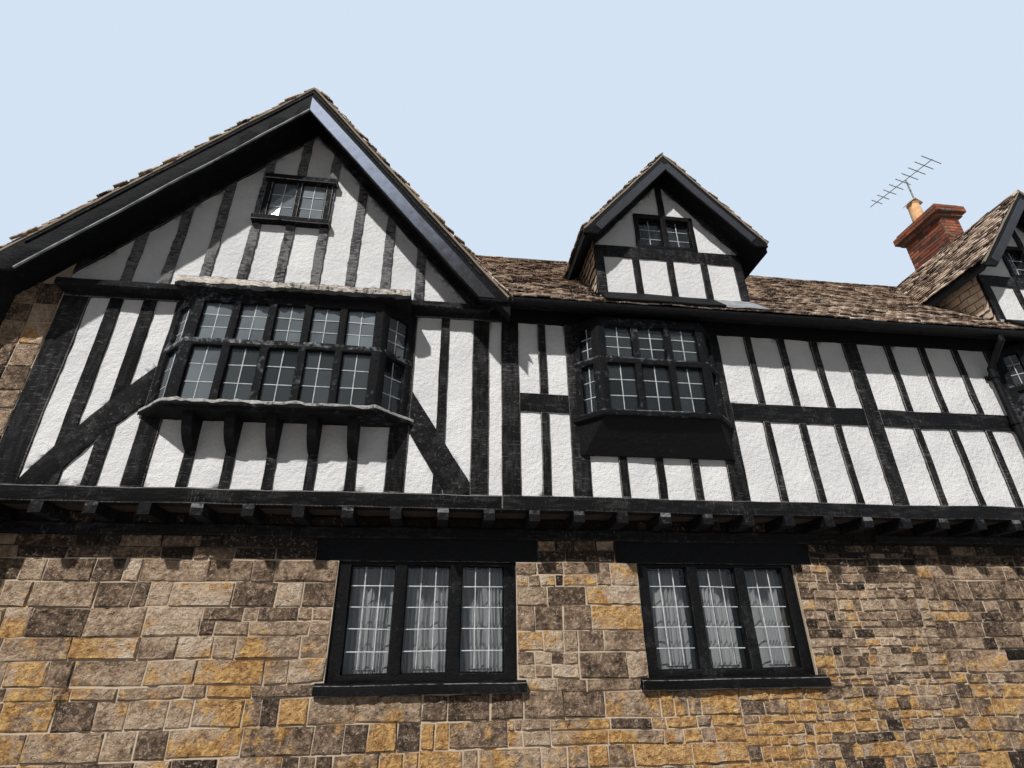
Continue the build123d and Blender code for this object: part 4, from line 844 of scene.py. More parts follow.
def lay_tiles(shape, corner, along, upward, width, reach, covers, rng, gauge=tile_gauge, ragged=0.0):
    """Courses of tiles on a slope, from the corner at its eave; reach is its length uphill."""
    corner, along, upward = Vector(corner), Vector(along).normalized(), Vector(upward).normalized()
    outward = along.cross(upward)
    axes = Matrix((along, upward, outward)).transposed().to_4x4()
    tilt = Matrix.Rotation(-atan(0.024 / tile_length), 4, "X")
    for row in range(int(reach / gauge)):
        shift = (row % 2) * tile_width / 2 + rng.uniform(-0.012, 0.012)
        for column in range(-1, int(width / tile_width) + 2):
            left = max(rng.uniform(-ragged, ragged), column * tile_width + shift)
            right = min(width + rng.uniform(-ragged, ragged), (column + 1) * tile_width + shift)
            if right - left < 0.03:
                continue
            middle = Vector(((left + right) / 2, row * gauge + tile_length / 2 - 0.02, 0.008))
            point = corner + axes.to_3x3() @ middle
            if not covers(point):
                continue
            middle += Vector((0, rng.uniform(-0.012, 0.012), rng.uniform(-0.002, 0.010)))
            turn = Matrix.Rotation(radians(rng.gauss(0, 1.5)), 4, "Z")
            tip = Matrix.Rotation(radians(rng.gauss(0, 1.7)), 4, "Y")
            size = Matrix.Diagonal((right - left - 0.006, tile_length, tile_thickness, 1))
            place = Matrix.Translation(corner) @ axes @ Matrix.Translation(middle) @ turn @ tip
            block(shape, place @ tilt @ size, rng.betavariate(2.2, 2.2))


def camber(shape, outward, rise=0.004):
    """Cuts every tile across its middle and lifts the cut."""
    tops = [e for e in shape.edges if 0.05 < e.calc_length() < 0.17]
    level_edges = [e for e in tops if abs((e.verts[0].co - e.verts[1].co).normalized().dot(outward[1])) < 0.3]
    cut = bmesh.ops.subdivide_edges(shape, edges=level_edges, cuts=1)["geom_inner"]
    for vert in cut:
        if isinstance(vert, bmesh.types.BMVert):
            vert.co += outward[0] * rise


def sag(shape, amount):
    """Old roofs are not flat: a slow wave, the same for all pieces at a place."""
    for vert in shape.verts:
        vert.co.z += noise.noise(vert.co * 0.9) * amount


wing_ridge_x, wing_ridge_z = -4.685, 8.330
left_slope, right_slope = 1.1098, 1.2300
front_eave_z, eave_y, verge_y = 5.309, 2.7, 2.83
dormer_middles, dormer_ridge, dormer_slope = (0.095, 5.795), 7.92, 1.18
dormer_half, dormer_wall = 1.24, 1.01


def main_top(y):
    return main_ridge - abs(y) * main_slope


def wing_top(x):
    return wing_ridge_z - abs(x - wing_ridge_x) * (right_slope if x > wing_ridge_x else left_slope)


def dormer_top(x):
    return max(dormer_ridge - abs(x - middle) * dormer_slope for middle in dormer_middles)


def main_front_covers(point):
    offset = min(abs(point.x - middle) for middle in dormer_middles)
    inside = offset < dormer_wall and point.y > -2.42 and dormer_top(point.x) > main_top(point.y)
    chimney = point.x > 6.97 and -0.62 < point.y < 0.32
    return not inside and not chimney and wing_top(point.x) < main_top(point.y) + 0.05


def main_back_covers(point):
    chimney = point.x > 6.97 and -0.62 < point.y < 0.32
    return not chimney and wing_top(point.x) < main_top(point.y) + 0.05


def wing_right_covers(point):
    return abs(point.y) > eave_y or main_top(point.y) < wing_top(point.x) + 0.05


rng = random.Random(5)
slope_reach = hypot(eave_y, eave_y * main_slope)
for name, side, covers in (("front", -1, main_front_covers), ("back", 1, main_back_covers)):
    tiles = new_shape()
    start = -4.6 if side < 0 else 7.475
    lay_tiles(tiles, (start, side * eave_y, front_eave_z), (-side, 0, 0),
              (0, -side, main_slope), 12.075, slope_reach, covers, rng)
    camber(tiles, (Vector((0, side * sin(radians(46)), cos(radians(46)))), Vector((0, -side, main_slope)).normalized()))
    sag(tiles, 0.016)
    hand_over(f"main_{name}_tiles", tiles, clay_tile)

for name, eave_x, slope, covers in (
    ("left", -7.665, left_slope, lambda point: True),
    ("right", -2.115, right_slope, wing_right_covers),
):
    tiles = new_shape()
    direction = 1 if name == "left" else -1
    run = abs(wing_ridge_x - eave_x)
    start_y = verge_y if name == "left" else -verge_y
    start_y += 0.065 * direction
    lay_tiles(tiles, (eave_x, start_y, wing_top(eave_x)), (0, -direction, 0), (direction, 0, slope),
              verge_y * 2 + 0.13, hypot(run, run * slope), covers, rng, ragged=0.022)
    normal = Vector((-direction * slope, 0, 1)).normalized()
    camber(tiles, (normal, Vector((direction, 0, slope)).normalized()))
    sag(tiles, 0.016)
    hand_over(f"wing_{name}_tiles", tiles, clay_tile)

# %% [markdown]
# ### Tiles of the dormers
#
# Each dormer has two small slopes that run back into the main roof, and two cheeks. The cheeks
# are hung with the same tiles, upright, in a lighter copy of the clay that is painted light; the
# faces of each tile that do not look out get the darkest tone, as painted shade between the
# courses. A cheek is laid like a slope that goes straight up.

# %% Tiles of the dormers
def dormer_covers(point):
    return point.y < -eave_y or main_top(point.y) < dormer_top(point.x) + 0.04


dormer_tiles = new_shape()
for middle in dormer_middles:
    for side in (-1, 1):
        eave = Vector((middle + side * dormer_half, 0, dormer_ridge - dormer_half * dormer_slope))
        eave.y = -2.72 if side > 0 else 0.2
        part = new_shape()
        lay_tiles(part, eave, (0, side, 0), (-side, 0, dormer_slope), 2.92,
                  hypot(dormer_half, dormer_half * dormer_slope), dormer_covers, rng, ragged=0.018)
        normal = Vector((side * dormer_slope, 0, 1)).normalized()
        camber(part, (normal, Vector((-side, 0, dormer_slope)).normalized()))
        dormer_tiles = join_shapes([dormer_tiles, part])
sag(dormer_tiles, 0.012)
hand_over("dormer_tiles", dormer_tiles, clay_tile)


def cheek_covers(point):
    return main_top(point.y) < point.z + 0.05 and point.z < 6.60


cheek_tiles = new_shape()
for middle in dormer_middles:
    for side in (-1, 1):
        part = new_shape()
        face = middle + side * dormer_wall
        start_y = -2.37 if side > 0 else -1.30
        lay_tiles(part, (face, start_y, 5.66), (0, side, 0), (0, 0, 1), 1.07, 1.0,
                  cheek_covers, rng, gauge=0.115)
        camber(part, (Vector((side, 0, 0)), Vector((0, 0, 1))))
        tones = part.faces.layers.float["tone"]
        # Painted shade: tile faces that do not look out get the darkest tone.
        for tile_face in part.faces:
            if tile_face.normal.x * side < 0.7:
                tile_face[tones] = -1.0
        cheek_tiles = join_shapes([cheek_tiles, part])
hand_over("cheek_tiles", cheek_tiles, painted_light_clay_tile)
paint(soot_oak, "wing_roof_left", "wing_roof_right", "main_roof_front", "main_roof_back",
      "dormer_roofs", "dormer_cheeks")

# %% [markdown]
# ### Mortar at the verges
#
# Where a slope ends over a gable the tiles are bedded on a strip of mortar above the board. It
# shows from the street as one pale line. Each strip is a long bar under the edge of the tiles.

# %% Mortar at the verges
verge_strips = new_shape()
for end_y in (-1, 1):
    for eave_x in (-7.64, -2.14):
        low = Vector((eave_x, end_y * 2.85, wing_top(eave_x) - 0.036))
        high = Vector((wing_ridge_x, end_y * 2.85, wing_ridge_z - 0.036))
        bar(verge_strips, low, high, (0, 1, 0), 0.068, 0.024)
    gable_low = Vector((7.487, end_y * eave_y, front_eave_z - 0.03))
    bar(verge_strips, gable_low, (7.487, 0, main_ridge - 0.03), (1, 0, 0), 0.05, 0.05)
for middle in dormer_middles:
    for side in (-1, 1):
        low = Vector((middle + side * dormer_half, -2.69, dormer_ridge - dormer_half * dormer_slope - 0.03))
        bar(verge_strips, low, (middle, -2.69, dormer_ridge - 0.03), (0, 1, 0), 0.06, 0.022)
for axis, pitch in ((0, 0.11), (1, 0.3)):
    values = [vert.co[axis] for vert in verge_strips.verts]
    for index in range(1, int((max(values) - min(values)) / pitch)):
        place = Vector((0, 0, 0))
        place[axis] = min(values) + index * pitch
        normal = Vector([float(index == axis) for index in range(3)])
        everything = verge_strips.verts[:] + verge_strips.edges[:] + verge_strips.faces[:]
        bmesh.ops.bisect_plane(verge_strips, geom=everything, dist=0.0002, plane_co=place, plane_no=normal)
for vert in verge_strips.verts:
    vert.co += noise.noise_vector(vert.co * 9) * 0.007
sag(verge_strips, 0.016)
hand_over("verge_strips", verge_strips, verge_mortar, smooth=50)

# %% [markdown]
# ## Ridge tiles
#
# The ridges are closed with bent tiles, each about a foot long, bedded in mortar. One is drawn
# as a few points across the ridge, extruded along it, and given its thickness with a solidify.

# %% Ridge tiles
def ridge_row(shape, start, end, slopes, half=0.15, pitch=0.33):
    """Bent tiles from one end of a ridge to the other."""
    start, end = Vector(start), Vector(end)
    count = ceil((end - start).length / pitch)
    step = (end - start) / count
    side = step.cross(Vector((0, 0, 1))).normalized()
    for index in range(count):
        lift = Vector((0, 0, 0.034 + rng.uniform(-0.004, 0.006)))
        swing = side * rng.uniform(-0.008, 0.008)
        first = start + step * index + lift + swing
        points = []
        for share in (-1, -0.6, -0.22, 0.22, 0.6, 1):
            slope = slopes[0] if share < 0 else slopes[1]
            drop = (abs(share) + 0.06 / (abs(share) + 0.6)) * half * slope
            points.append(shape.verts.new(first + side * share * half - Vector((0, 0, drop))))
        edges = [shape.edges.new(pair) for pair in zip(points[:-1], points[1:])]
        grown = bmesh.ops.extrude_edge_only(shape, edges=edges)["geom"]
        moved = [item for item in grown if isinstance(item, bmesh.types.BMVert)]
        bmesh.ops.translate(shape, verts=moved, vec=step * 0.985)
        faces = [item for item in grown if isinstance(item, bmesh.types.BMFace)]
        bmesh.ops.recalc_face_normals(shape, faces=faces)
        if sum((face.normal.z for face in faces)) < 0:
            bmesh.ops.reverse_faces(shape, faces=faces)
        layer = shape.faces.layers.float["tone"]
        tone = rng.betavariate(2, 2)
        thick = bmesh.ops.solidify(shape, geom=faces, thickness=0.022)["geom"]
        for face in faces + [item for item in thick if isinstance(item, bmesh.types.BMFace)]:
            face[layer] = tone


rng = random.Random(8)
ridge_pieces = new_shape()
ridge_row(ridge_pieces, (wing_ridge_x, -2.85, wing_ridge_z), (wing_ridge_x, 2.85, wing_ridge_z),
          (left_slope, right_slope))
ridge_row(ridge_pieces, (-4.42, 0, main_ridge), (6.99, 0, main_ridge), (main_slope, main_slope))
for middle in dormer_middles:
    ridge_row(ridge_pieces, (middle, -2.69, dormer_ridge), (middle, -0.05, dormer_ridge),
              (dormer_slope, dormer_slope))
sag(ridge_pieces, 0.014)
hand_over("ridge_pieces", ridge_pieces, clay_tile, stands_for=("ridge_tiles",), smooth=50)

# %% [markdown]
# ## Hewn timber
#
# The construction model's timbers are dead straight. Real ones were squared with an axe, so
# their faces wander by some millimetres and their arrises are rounded. A copy of a node is
# merged, sliced into short lengths, and every point is moved by one shared field of noise.
# Because the field is the same for all, posts, beams and panels that touch go on touching.

# %% Helpers for hewn timber
def merged(*names):
    """A clean copy of carried-over pieces: points merged, flat faces made whole."""
    shape = new_shape()
    for name in names:
        shape.from_mesh(nodes[name].data)
    bmesh.ops.remove_doubles(shape, verts=shape.verts, dist=0.0001)
    bmesh.ops.dissolve_limit(shape, angle_limit=radians(1), verts=shape.verts, edges=shape.edges)
    return shape


def slice_along(shape, axis, pitch):
    """Cuts a shape into even lengths along an axis."""
    values = [vert.co[axis] for vert in shape.verts]
    low, high = min(values), max(values)
    normal = Vector([1.0 if index == axis else 0.0 for index in range(3)])
    count = max(1, round((high - low) / pitch))
    for index in range(1, count):
        place = normal * (low + (high - low) * index / count)
        geometry = shape.verts[:] + shape.edges[:] + shape.faces[:]
        bmesh.ops.bisect_plane(shape, geom=geometry, dist=0.0002, plane_co=place, plane_no=normal)


def sway(place, reach=0.013):
    slow = noise.noise_vector(place * 1.3)
    quick = noise.noise_vector(place * 5.5)
    return (slow * 0.7 + quick * 0.5) * reach


def hew(shape, pitch=0.18, arris=0.008, wear=0.55, rough=0.0):
    """Slices, wanders and rounds a timber shape, and wears its arrises."""
    slice_along(shape, 0, pitch)
    slice_along(shape, 2, pitch)
    for vert in shape.verts:
        split = noise.noise_vector(vert.co * 19) * rough
        vert.co += sway(vert.co) + Vector((split.x * 0.5, split.y, 0))
    round_edges(shape, arris, 1, sharper_than=35, wear=wear)


def fray(shape, front, bottom, reach):
    """Ruffles the edge of a weathered board in front of one depth and above one height."""
    for vert in shape.verts:
        if vert.co.y < front and bottom < vert.co.z < bottom + 0.2:
            vert.co += Vector((0, 0.5, 1)) * (noise.noise(vert.co * 14) - 0.12) * reach


def flake_top(shape, height, depth, tone=1.0):
    """Bares the wood in a strip under a level top edge."""
    for level_line in (height - depth, height):
        geometry = shape.verts[:] + shape.edges[:] + shape.faces[:]
        bmesh.ops.bisect_plane(
            shape, geom=geometry, dist=0.0002, plane_co=(0, 0, level_line), plane_no=(0, 0, 1),
        )
    layer = shape.faces.layers.float["tone"]
    for face in shape.faces:
        if height - depth < face.calc_center_median().z < height + 0.005:
            face[layer] = tone


# %% [markdown]
# ### The street frame
#
# Uprights and level beams are separate pieces, because their grain runs differently.

# %% The street frame
tops = {"wing_tie_beam": (5.36, 0.045), "wing_bressumer": (3.05, 0.012)}
for name, names, finish in (
    ("hewn_uprights", ("wing_posts", "wing_studs"), upright_oak),
    ("hewn_gable_studs", ("wing_gable_studs",), flaked_oak),
    ("hewn_range_uprights", ("range_posts", "range_studs"), upright_oak),
    ("hewn_beams", ("wing_bressumer", "wing_tie_beam", "range_bressumer", "range_mid_rails"), level_oak),
    ("hewn_braces", ("wing_braces", "wing_gable_rafters"), sloping_oak),
    ("hewn_dormer_frames", ("dormer_frames",), upright_oak),
    ("hewn_back_frame", ("rear_timber_frame", "rear_gable_frame"), upright_oak),
):
    parts = []
    for node_name in names:
        part = merged(node_name)
        if node_name in tops:
            flake_top(part, *tops[node_name])
        if node_name == "wing_gable_studs":
            hew(part, pitch=0.045, rough=0.013)
        else:
            hew(part)
        parts.append(part)
    hand_over(name, join_shapes(parts), finish, stands_for=names, smooth=35)

# %% [markdown]
# ### Window frames, sills and the boards of the gables
#
# Joinery was planed, so it wanders with the frame around it but is rounded less. The sills, the
# transoms and the hood over the large oriel have flaked along their top edges, down to pale
# wood. The hood is hewn in very short lengths and its outer edge is frayed by noise.

# %% Window frames, sills and boards
for name, node_name, finish, lines in (
    ("large_oriel_joinery", "large_oriel_frame", sky_sheen_joinery_oak, ((4.54, 0.05, 0.5), (3.85, 0.04, 0.85))),
    ("range_oriel_joinery", "range_oriel_frames", sky_sheen_joinery_oak, ((4.62, 0.02, 0.45), (3.955, 0.02, 0.5))),
    ("dormer_window_joinery", "dormer_window_frames", painted_oak, ()),
    ("ground_window_joinery", "ground_window_frames", painted_oak, ()),
    ("ground_sill_boards", "ground_window_sills", painted_oak, ((1.352, 0.006, 0.8),)),
    ("ground_lintel_beams", "ground_window_lintels", soot_oak, ()),
    ("rear_window_joinery", "rear_window_frames", painted_oak, ()),
):
    part = merged(node_name)
    for line in lines:
        flake_top(part, *line)
    if node_name == "large_oriel_frame":
        slice_along(part, 0, 0.05)
        fray(part, -2.72, 3.80, 0.030)
    hew(part, pitch=0.3, arris=0.005, wear=0.7)
    hand_over(name, part, finish, stands_for=(node_name,), smooth=35)

hood = new_shape()
block(hood, box_place((-5.665, -2.80, 5.10), (-3.225, -2.40, 5.225)), 0)
geometry = hood.verts[:] + hood.edges[:] + hood.faces[:]
bmesh.ops.bisect_plane(hood, geom=geometry, dist=0.0002, plane_co=(0, 0, 5.152), plane_no=(0, 0, 1))
hood_tones = hood.faces.layers.float["tone"]
for face in hood.faces:
    if face.calc_center_median().z > 5.152 and face.normal.y < -0.8:
        face[hood_tones] = 0.68
slice_along(hood, 0, 0.035)
for vert in hood.verts:
    vert.co += sway(vert.co)
fray(hood, -2.7, 5.05, 0.034)
round_edges(hood, 0.004, 1, sharper_than=35)
hand_over("large_oriel_hood_board", hood, hood_oak, stands_for=("large_oriel_hood",), smooth=40)

# %% [markdown]
# ### Under the gable and under the jetty
#
# A squared moulding runs along the tie beam and throws a shadow on the wall. Under the jetty a
# black plate lies on the stone and carries the joists. The upper strip of each joist's end is
# painted grey, as a painted highlight where the light falls on it. The plate is left out for a
# length to the right of the second window.

# %% Under the gable and under the jetty
long_beams = new_shape()
for low, high in (
    ((-6.99, -2.565, 5.185), (-2.31, -2.38, 5.270)),
    ((-6.96, -2.045, 2.675), (1.37, -1.98, 2.788)),
    ((2.19, -2.045, 2.700), (6.98, -1.98, 2.788)),
):
    block(long_beams, box_place(low, high), 0)
hew(long_beams, pitch=0.3, arris=0.012, wear=0.1)
hand_over("moulding_and_plates", long_beams, level_oak, smooth=35)

joists = merged("floor_joists")
geometry = joists.verts[:] + joists.edges[:] + joists.faces[:]
bmesh.ops.bisect_plane(joists, geom=geometry, dist=0.0002, plane_co=(0, 0, 2.860), plane_no=(0, 0, 1))
# The upper strip of each joist end gets a pale tone, a painted highlight.
painted_highlight_tones = joists.faces.layers.float["tone"]
for face in joists.faces:
    middle = face.calc_center_median()
    if face.normal.y < -0.8 and middle.y < -2.3 and middle.z > 2.860:
        face[painted_highlight_tones] = 0.45 + 0.9 * noise.noise(Vector((middle.x * 3, 0, 0)))
hand_over("sawn_joists", joists, end_oak, stands_for=("floor_joists",), smooth=35)

# %% [markdown]
# ### The gable window
#
# A two light window under the apex. Its head and sill are boards that stand proud, and its
# lights sit near the front of the wall, so that little of them is hidden from below. It is put
# together from squared pieces and then hewn with the rest.

# %% The gable window
gable_joinery = new_shape()
for low, high in (
    ((-5.20, -2.485, 7.06), (-4.30, -2.26, 7.135)),
    ((-5.25, -2.485, 6.37), (-4.31, -2.26, 6.445)),
    ((-5.175, -2.43, 6.445), (-5.10, -2.27, 7.06)),
    ((-4.425, -2.43, 6.445), (-4.35, -2.27, 7.06)),
    ((-4.795, -2.435, 6.445), (-4.735, -2.27, 7.06)),
):
    block(gable_joinery, box_place(low, high), 0)
hew(gable_joinery, pitch=0.3, arris=0.006, wear=0.9)
hand_over("gable_window_joinery", gable_joinery, sky_sheen_joinery_oak,
          stands_for=("gable_window_frame",), smooth=35)
gable_lights = [(wall_place((x, -2.40, 6.45), (1, 0, 0)), 0.30, 0.605) for x in (-4.947, -4.580)]

# %% [markdown]
# ### Bargeboards
#
# A bargeboard closes the end of a slope. This one has a planed fillet along its lower edge and a
# narrow one under the tiles. The lower fillet is coloured pale blue-grey all along, a painted
# highlight, and the narrow one keeps its black paint, worn in places. The boards are hewn like the
# frame; the fillets are bars along their edges, read from the same corners. The right board has a
# broad planed fascia, painted pale blue-grey at the apex and black again at the foot as a painted
# sheen; the dormer fascias fade the same way, to a dark blue-grey.

# %% Bargeboards
boards, dormer_boards = merged("wing_bargeboards"), merged("dormer_bargeboards")
foot_cut = 6.365
geometry = dormer_boards.verts[:] + dormer_boards.edges[:] + dormer_boards.faces[:]
cut = bmesh.ops.bisect_plane(dormer_boards, geom=geometry, dist=0.0002, plane_co=(0, 0, foot_cut),
                             plane_no=(0, 0, 1), clear_inner=True)["geom_cut"]
bmesh.ops.holes_fill(dormer_boards, edges=[e for e in dormer_boards.edges if e.is_boundary])
boards = join_shapes([boards, dormer_boards])
hew(boards, pitch=0.3, arris=0.006, wear=0.4)
hand_over("barge_boards", boards, soot_oak,
          stands_for=("wing_bargeboards", "dormer_bargeboards"), smooth=35)

fillets, thin_fillets, pale_fascias, dark_fascias = (new_shape() for _ in range(4))
barge_low, barge_apex, dormer_barge_low = 5.11, 7.86, 6.147
for side_y in (-1, 1):
    for foot_x in (-7.163, -2.449):
        start = Vector((foot_x, side_y * 2.878, barge_low + 0.012))
        end = Vector((wing_ridge_x, side_y * 2.878, barge_apex + 0.020))
        step = Vector((0, side_y * 0.002, 0.33))
        bar(thin_fillets, start + step, end + step, (0, 1, 0), 0.020, 0.022, 0.3)
        if foot_x < wing_ridge_x:
            bar(fillets, start, end, (0, 1, 0), 0.024, 0.022, 0.5)
        else:
            step = Vector((0, 0, 0.115))
            run = (end - start) * 0.05
            bar(pale_fascias, start + step - run, end + step + run, (0, 1, 0), 0.016, 0.150, 0)
for middle in dormer_middles:
    for side in (-1, 1):
        foot = dormer_half - (foot_cut - dormer_barge_low) / dormer_slope
        start = Vector((middle + side * foot, -2.713, foot_cut + 0.095))
        end = Vector((middle, -2.713, foot_cut + 0.095 + foot * dormer_slope))
        bar(dark_fascias, start, end, (0, 1, 0), 0.014, 0.110, 0)
for plane_co, plane_no in (((wing_ridge_x, 0, 0), (1, 0, 0)), ((0, 0, barge_low + 0.03), (0, 0, 1))):
    geometry = pale_fascias.verts[:] + pale_fascias.edges[:] + pale_fascias.faces[:]
    bmesh.ops.bisect_plane(pale_fascias, geom=geometry, dist=0.0002, plane_co=plane_co,
                           plane_no=plane_no, clear_inner=True)
    bmesh.ops.holes_fill(pale_fascias, edges=[e for e in pale_fascias.edges if e.is_boundary])
for shape in (fillets, thin_fillets, pale_fascias, dark_fascias):
    slice_along(shape, 0, 0.25)
    for vert in shape.verts:
        vert.co += sway(vert.co)
    round_edges(shape, 0.004, 1, sharper_than=35)
hand_over("barge_fillets", fillets, painted_highlight_oak, smooth=35)
hand_over("barge_mouldings", thin_fillets, painted_oak, smooth=35)
hand_over("pale_fascias", pale_fascias, fascia_oak, smooth=35)
hand_over("dark_fascias", dark_fascias, dark_fascia_oak, smooth=35)

# %% [markdown]
# ### The plaster panels
#
# The panels follow the same field as the timbers, so that no gap opens at their edges. They are
# sliced finer, and their faces get lumps of their own, a few millimetres deep.

# %% The plaster panels
def plaster(name, names):
    parts = []
    for node_name in names:
        part = merged(node_name)
        slice_along(part, 0, 0.075)
        slice_along(part, 2, 0.075)
        for vert in part.verts:
            lump = noise.noise(vert.co * 7) * 0.006 + noise.noise(vert.co * 15) * 0.005
            vert.co += sway(vert.co) + Vector((0, lump, 0))
        parts.append(part)
    hand_over(name, join_shapes(parts), limewash, stands_for=names, smooth=60)


plaster("wing_plaster", ("wing_wall_panels", "wing_gable_panels"))
plaster("range_plaster", ("range_wall_panels", "dormer_panels"))
plaster("back_plaster", ("rear_wall_panels",))

# %% [markdown]
# ## Leaded lights
#
# Each light is a lattice of lead cames that holds small panes, in a slim iron casement. The
# construction model has one sheet of glass for every light, so its big faces say where the
# lights are, how wide and how high, and which way they look. A ground floor light has three
# panes by five, the others two by three. Panes lie a little out of true, and their tone sets how
# much painted sky reflection their colour gets: most in the upper row of the large oriel.

# %% Leaded lights
def lights_of(name):
    """Place, width and height of every light: its middle at the foot, seen from outside."""
    shape, found = merged(name), []
    for face in shape.faces:
        centre = face.calc_center_median()
        if face.calc_area() > 0.05 and face.normal.y * centre.y > 0.1:
            along = Vector((0, 0, 1)).cross(face.normal).normalized()
            reach = [corner.co.dot(along) for corner in face.verts]
            rise = [corner.co.z for corner in face.verts]
            foot = Vector((centre.x, centre.y, min(rise)))
            found.append((wall_place(foot, along), max(reach) - min(reach), max(rise) - min(rise)))
    shape.free()
    return found


# The share of painted sky reflection in a pane's colour, set for each window.
def painted_reflection_share(foot):
    if foot.z < 3:
        return 0.02
    if foot.x < -3 and foot.z < 5:
        first = foot.z < 4 and foot.x < -5.1
        return 0.46 if foot.z > 4.5 and foot.y < 0 else 0.45 if first else 0.16
    return 0.60 if foot.x < -4 else 0.10


def glaze(panes, cames, rims, place, width, height):
    columns, rows = (3, 5) if height > 0.9 else (2, 3)
    share = max(0, rng.gauss(painted_reflection_share(place.translation), 0.03))
    step_x, step_z = width / columns, height / rows
    for column in range(columns):
        for row in range(rows):
            middle = Vector((step_x * (column + 0.5) - width / 2, step_z * (row + 0.5), -0.003))
            lean = Matrix.Rotation(rng.gauss(0, 0.012), 4, "X") @ Matrix.Rotation(rng.gauss(0, 0.012), 4, "Y")
            size = Matrix.Diagonal((step_x - 0.002, step_z - 0.002, 0.003, 1))
            tone = min(1, max(0, rng.gauss(share, 0.02 + share * 0.10)))
            block(panes, place @ Matrix.Translation(middle) @ lean @ size, tone)
    half = 0.0048
    for column in range(1, columns):
        x = step_x * column - width / 2
        block(cames, place @ box_place((x - half, 0, -0.006), (x + half, height, 0.005)))
    for row in range(1, rows):
        z = step_z * row
        block(cames, place @ box_place((-width / 2, z - half, -0.0055), (width / 2, z + half, 0.0045)))
    edge = 0.014 if height > 0.9 else 0.010
    for low, high in (
        ((-width / 2, 0), (width / 2, edge)), ((-width / 2, height - edge), (width / 2, height)),
        ((-width / 2, edge), (edge - width / 2, height - edge)),
        ((width / 2 - edge, edge), (width / 2, height - edge)),
    ):
        block(rims, place @ box_place((*low, -0.010), (*high, 0.010)))


rng = random.Random(17)
for floor_name, node_name in (("ground", "ground_window_glass"), ("upper", "upper_window_glass")):
    panes, cames, rims = new_shape(), new_shape(), new_shape()
    found = lights_of(node_name)
    if floor_name == "upper":
        in_gable = [light for light in found if light[0].translation.z > 6 and light[0].translation.x < -4]
        found = [light for light in found if light not in in_gable] + gable_lights
    for place, width, height in found:
        glaze(panes, cames, rims, place, width, height)
    round_edges(cames, 0.002)
    round_edges(rims, 0.003)
    for shape in (panes, cames, rims):
        for vert in shape.verts:
            vert.co += sway(vert.co)
    hand_over(f"{floor_name}_panes", panes, old_glass, stands_for=(node_name,))
    hand_over(f"{floor_name}_cames", cames, came_lead, smooth=40)
    hand_over(f"{floor_name}_casements", rims, painted_iron, smooth=40)

# %% [markdown]
# ### Casement stays
#
# Along the foot of each street casement lies a stay: a flat bar with holes, a knob at its end,
# and a pin on the sill. Bars and a spun ring are enough at this size.

# %% Casement stays
stays = new_shape()
for place, width, height in lights_of("ground_window_glass"):
    if place.translation.y > 0:
        continue
    start, end = place @ Vector((-0.12, 0.035, 0.02)), place @ Vector((0.09, 0.035, 0.02))
    bar(stays, start, end, (0, 0, 1), 0.013, 0.006)
    bar(stays, end - Vector((0.03, 0, 0.035)), end - Vector((0.03, 0, -0.008)), (1, 0, 0), 0.008, 0.008)
    ring(stays, end + Vector((0.008, 0, 0)), 0.008, 0.005, tilt=pi / 2, steps=12)
bmesh.ops.recalc_face_normals(stays, faces=stays.faces)
hand_over("casement_stays", stays, stay_iron, smooth=50)

# %% [markdown]
# ## Net curtains
#
# A net is cut about one and a half times as wide as its window and gathered on the rail, so it
# hangs in upright folds. A fine grid gets its folds from a sine wave whose phase and depth
# drift, deeper towards the foot. The flat width is the length of one row of the grid, measured
# after folding, so the cloth is as large as it says it is.

# %% Net curtains
def fold_curtain(low, high, seed):
    """One net between two corners of its space; gives the shape and its flat size."""
    shape = new_shape()
    shape.loops.layers.uv.new("UVMap")
    across, down = 112, 14
    bmesh.ops.create_grid(shape, x_segments=across, y_segments=down, size=0.5, calc_uvs=True)
    width, height = high.x - low.x - 0.01, high.z - low.z - 0.012
    folds = width / 0.056
    for vert in shape.verts:
        u, v = vert.co.x, vert.co.y
        drift = noise.noise(Vector((u * 3.1, v * 0.8, seed))) * 1.6
        depth = 0.020 + (0.5 - v) * 0.003 + noise.noise(Vector((u * 4.0, v, seed + 9))) * 0.004
        swing = sin(2 * pi * (folds * u + drift))
        vert.co = Vector((
            (low.x + high.x) / 2 + u * width,
            (low.y + high.y) / 2 + depth * swing,
            low.z + 0.006 + (v + 0.5) * height,
        ))
    foot = sorted((vert.co.copy() for vert in shape.verts if vert.co.z < low.z + 0.008), key=lambda co: co.x)
    flat_width = sum((b - a).length for a, b in zip(foot[:-1], foot[1:]))
    return shape, (flat_width, height)


curtain_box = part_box("ground_curtains")
number = 0
for place, width, height in lights_of("ground_window_glass"):
    centre = place.translation
    if centre.y > 0:
        continue
    number += 1
    low = Vector((centre.x - width / 2, curtain_box[0].y, curtain_box[0].z))
    high = Vector((centre.x + width / 2, curtain_box[1].y, curtain_box[1].z))
    shape, flat = fold_curtain(low, high, number * 3.7)
    net = hand_over(f"net_curtain_{number}", shape, white_net,
                    stands_for=("ground_curtains",), smooth=180)
    print("flat size", [round(side, 3) for side in flat])

# %% [markdown]
# ## The chimney
#
# The stack is brick, 65 mm courses and 10 mm joints, with a cap that steps out and in again.
# `brick_course` walks round the four sides and shifts every other course by half a brick. The
# construction model's stack stays behind as the mortar. On top are the pot with a rolled rim and
# foot, and a bent ridge tile as its rain hood.

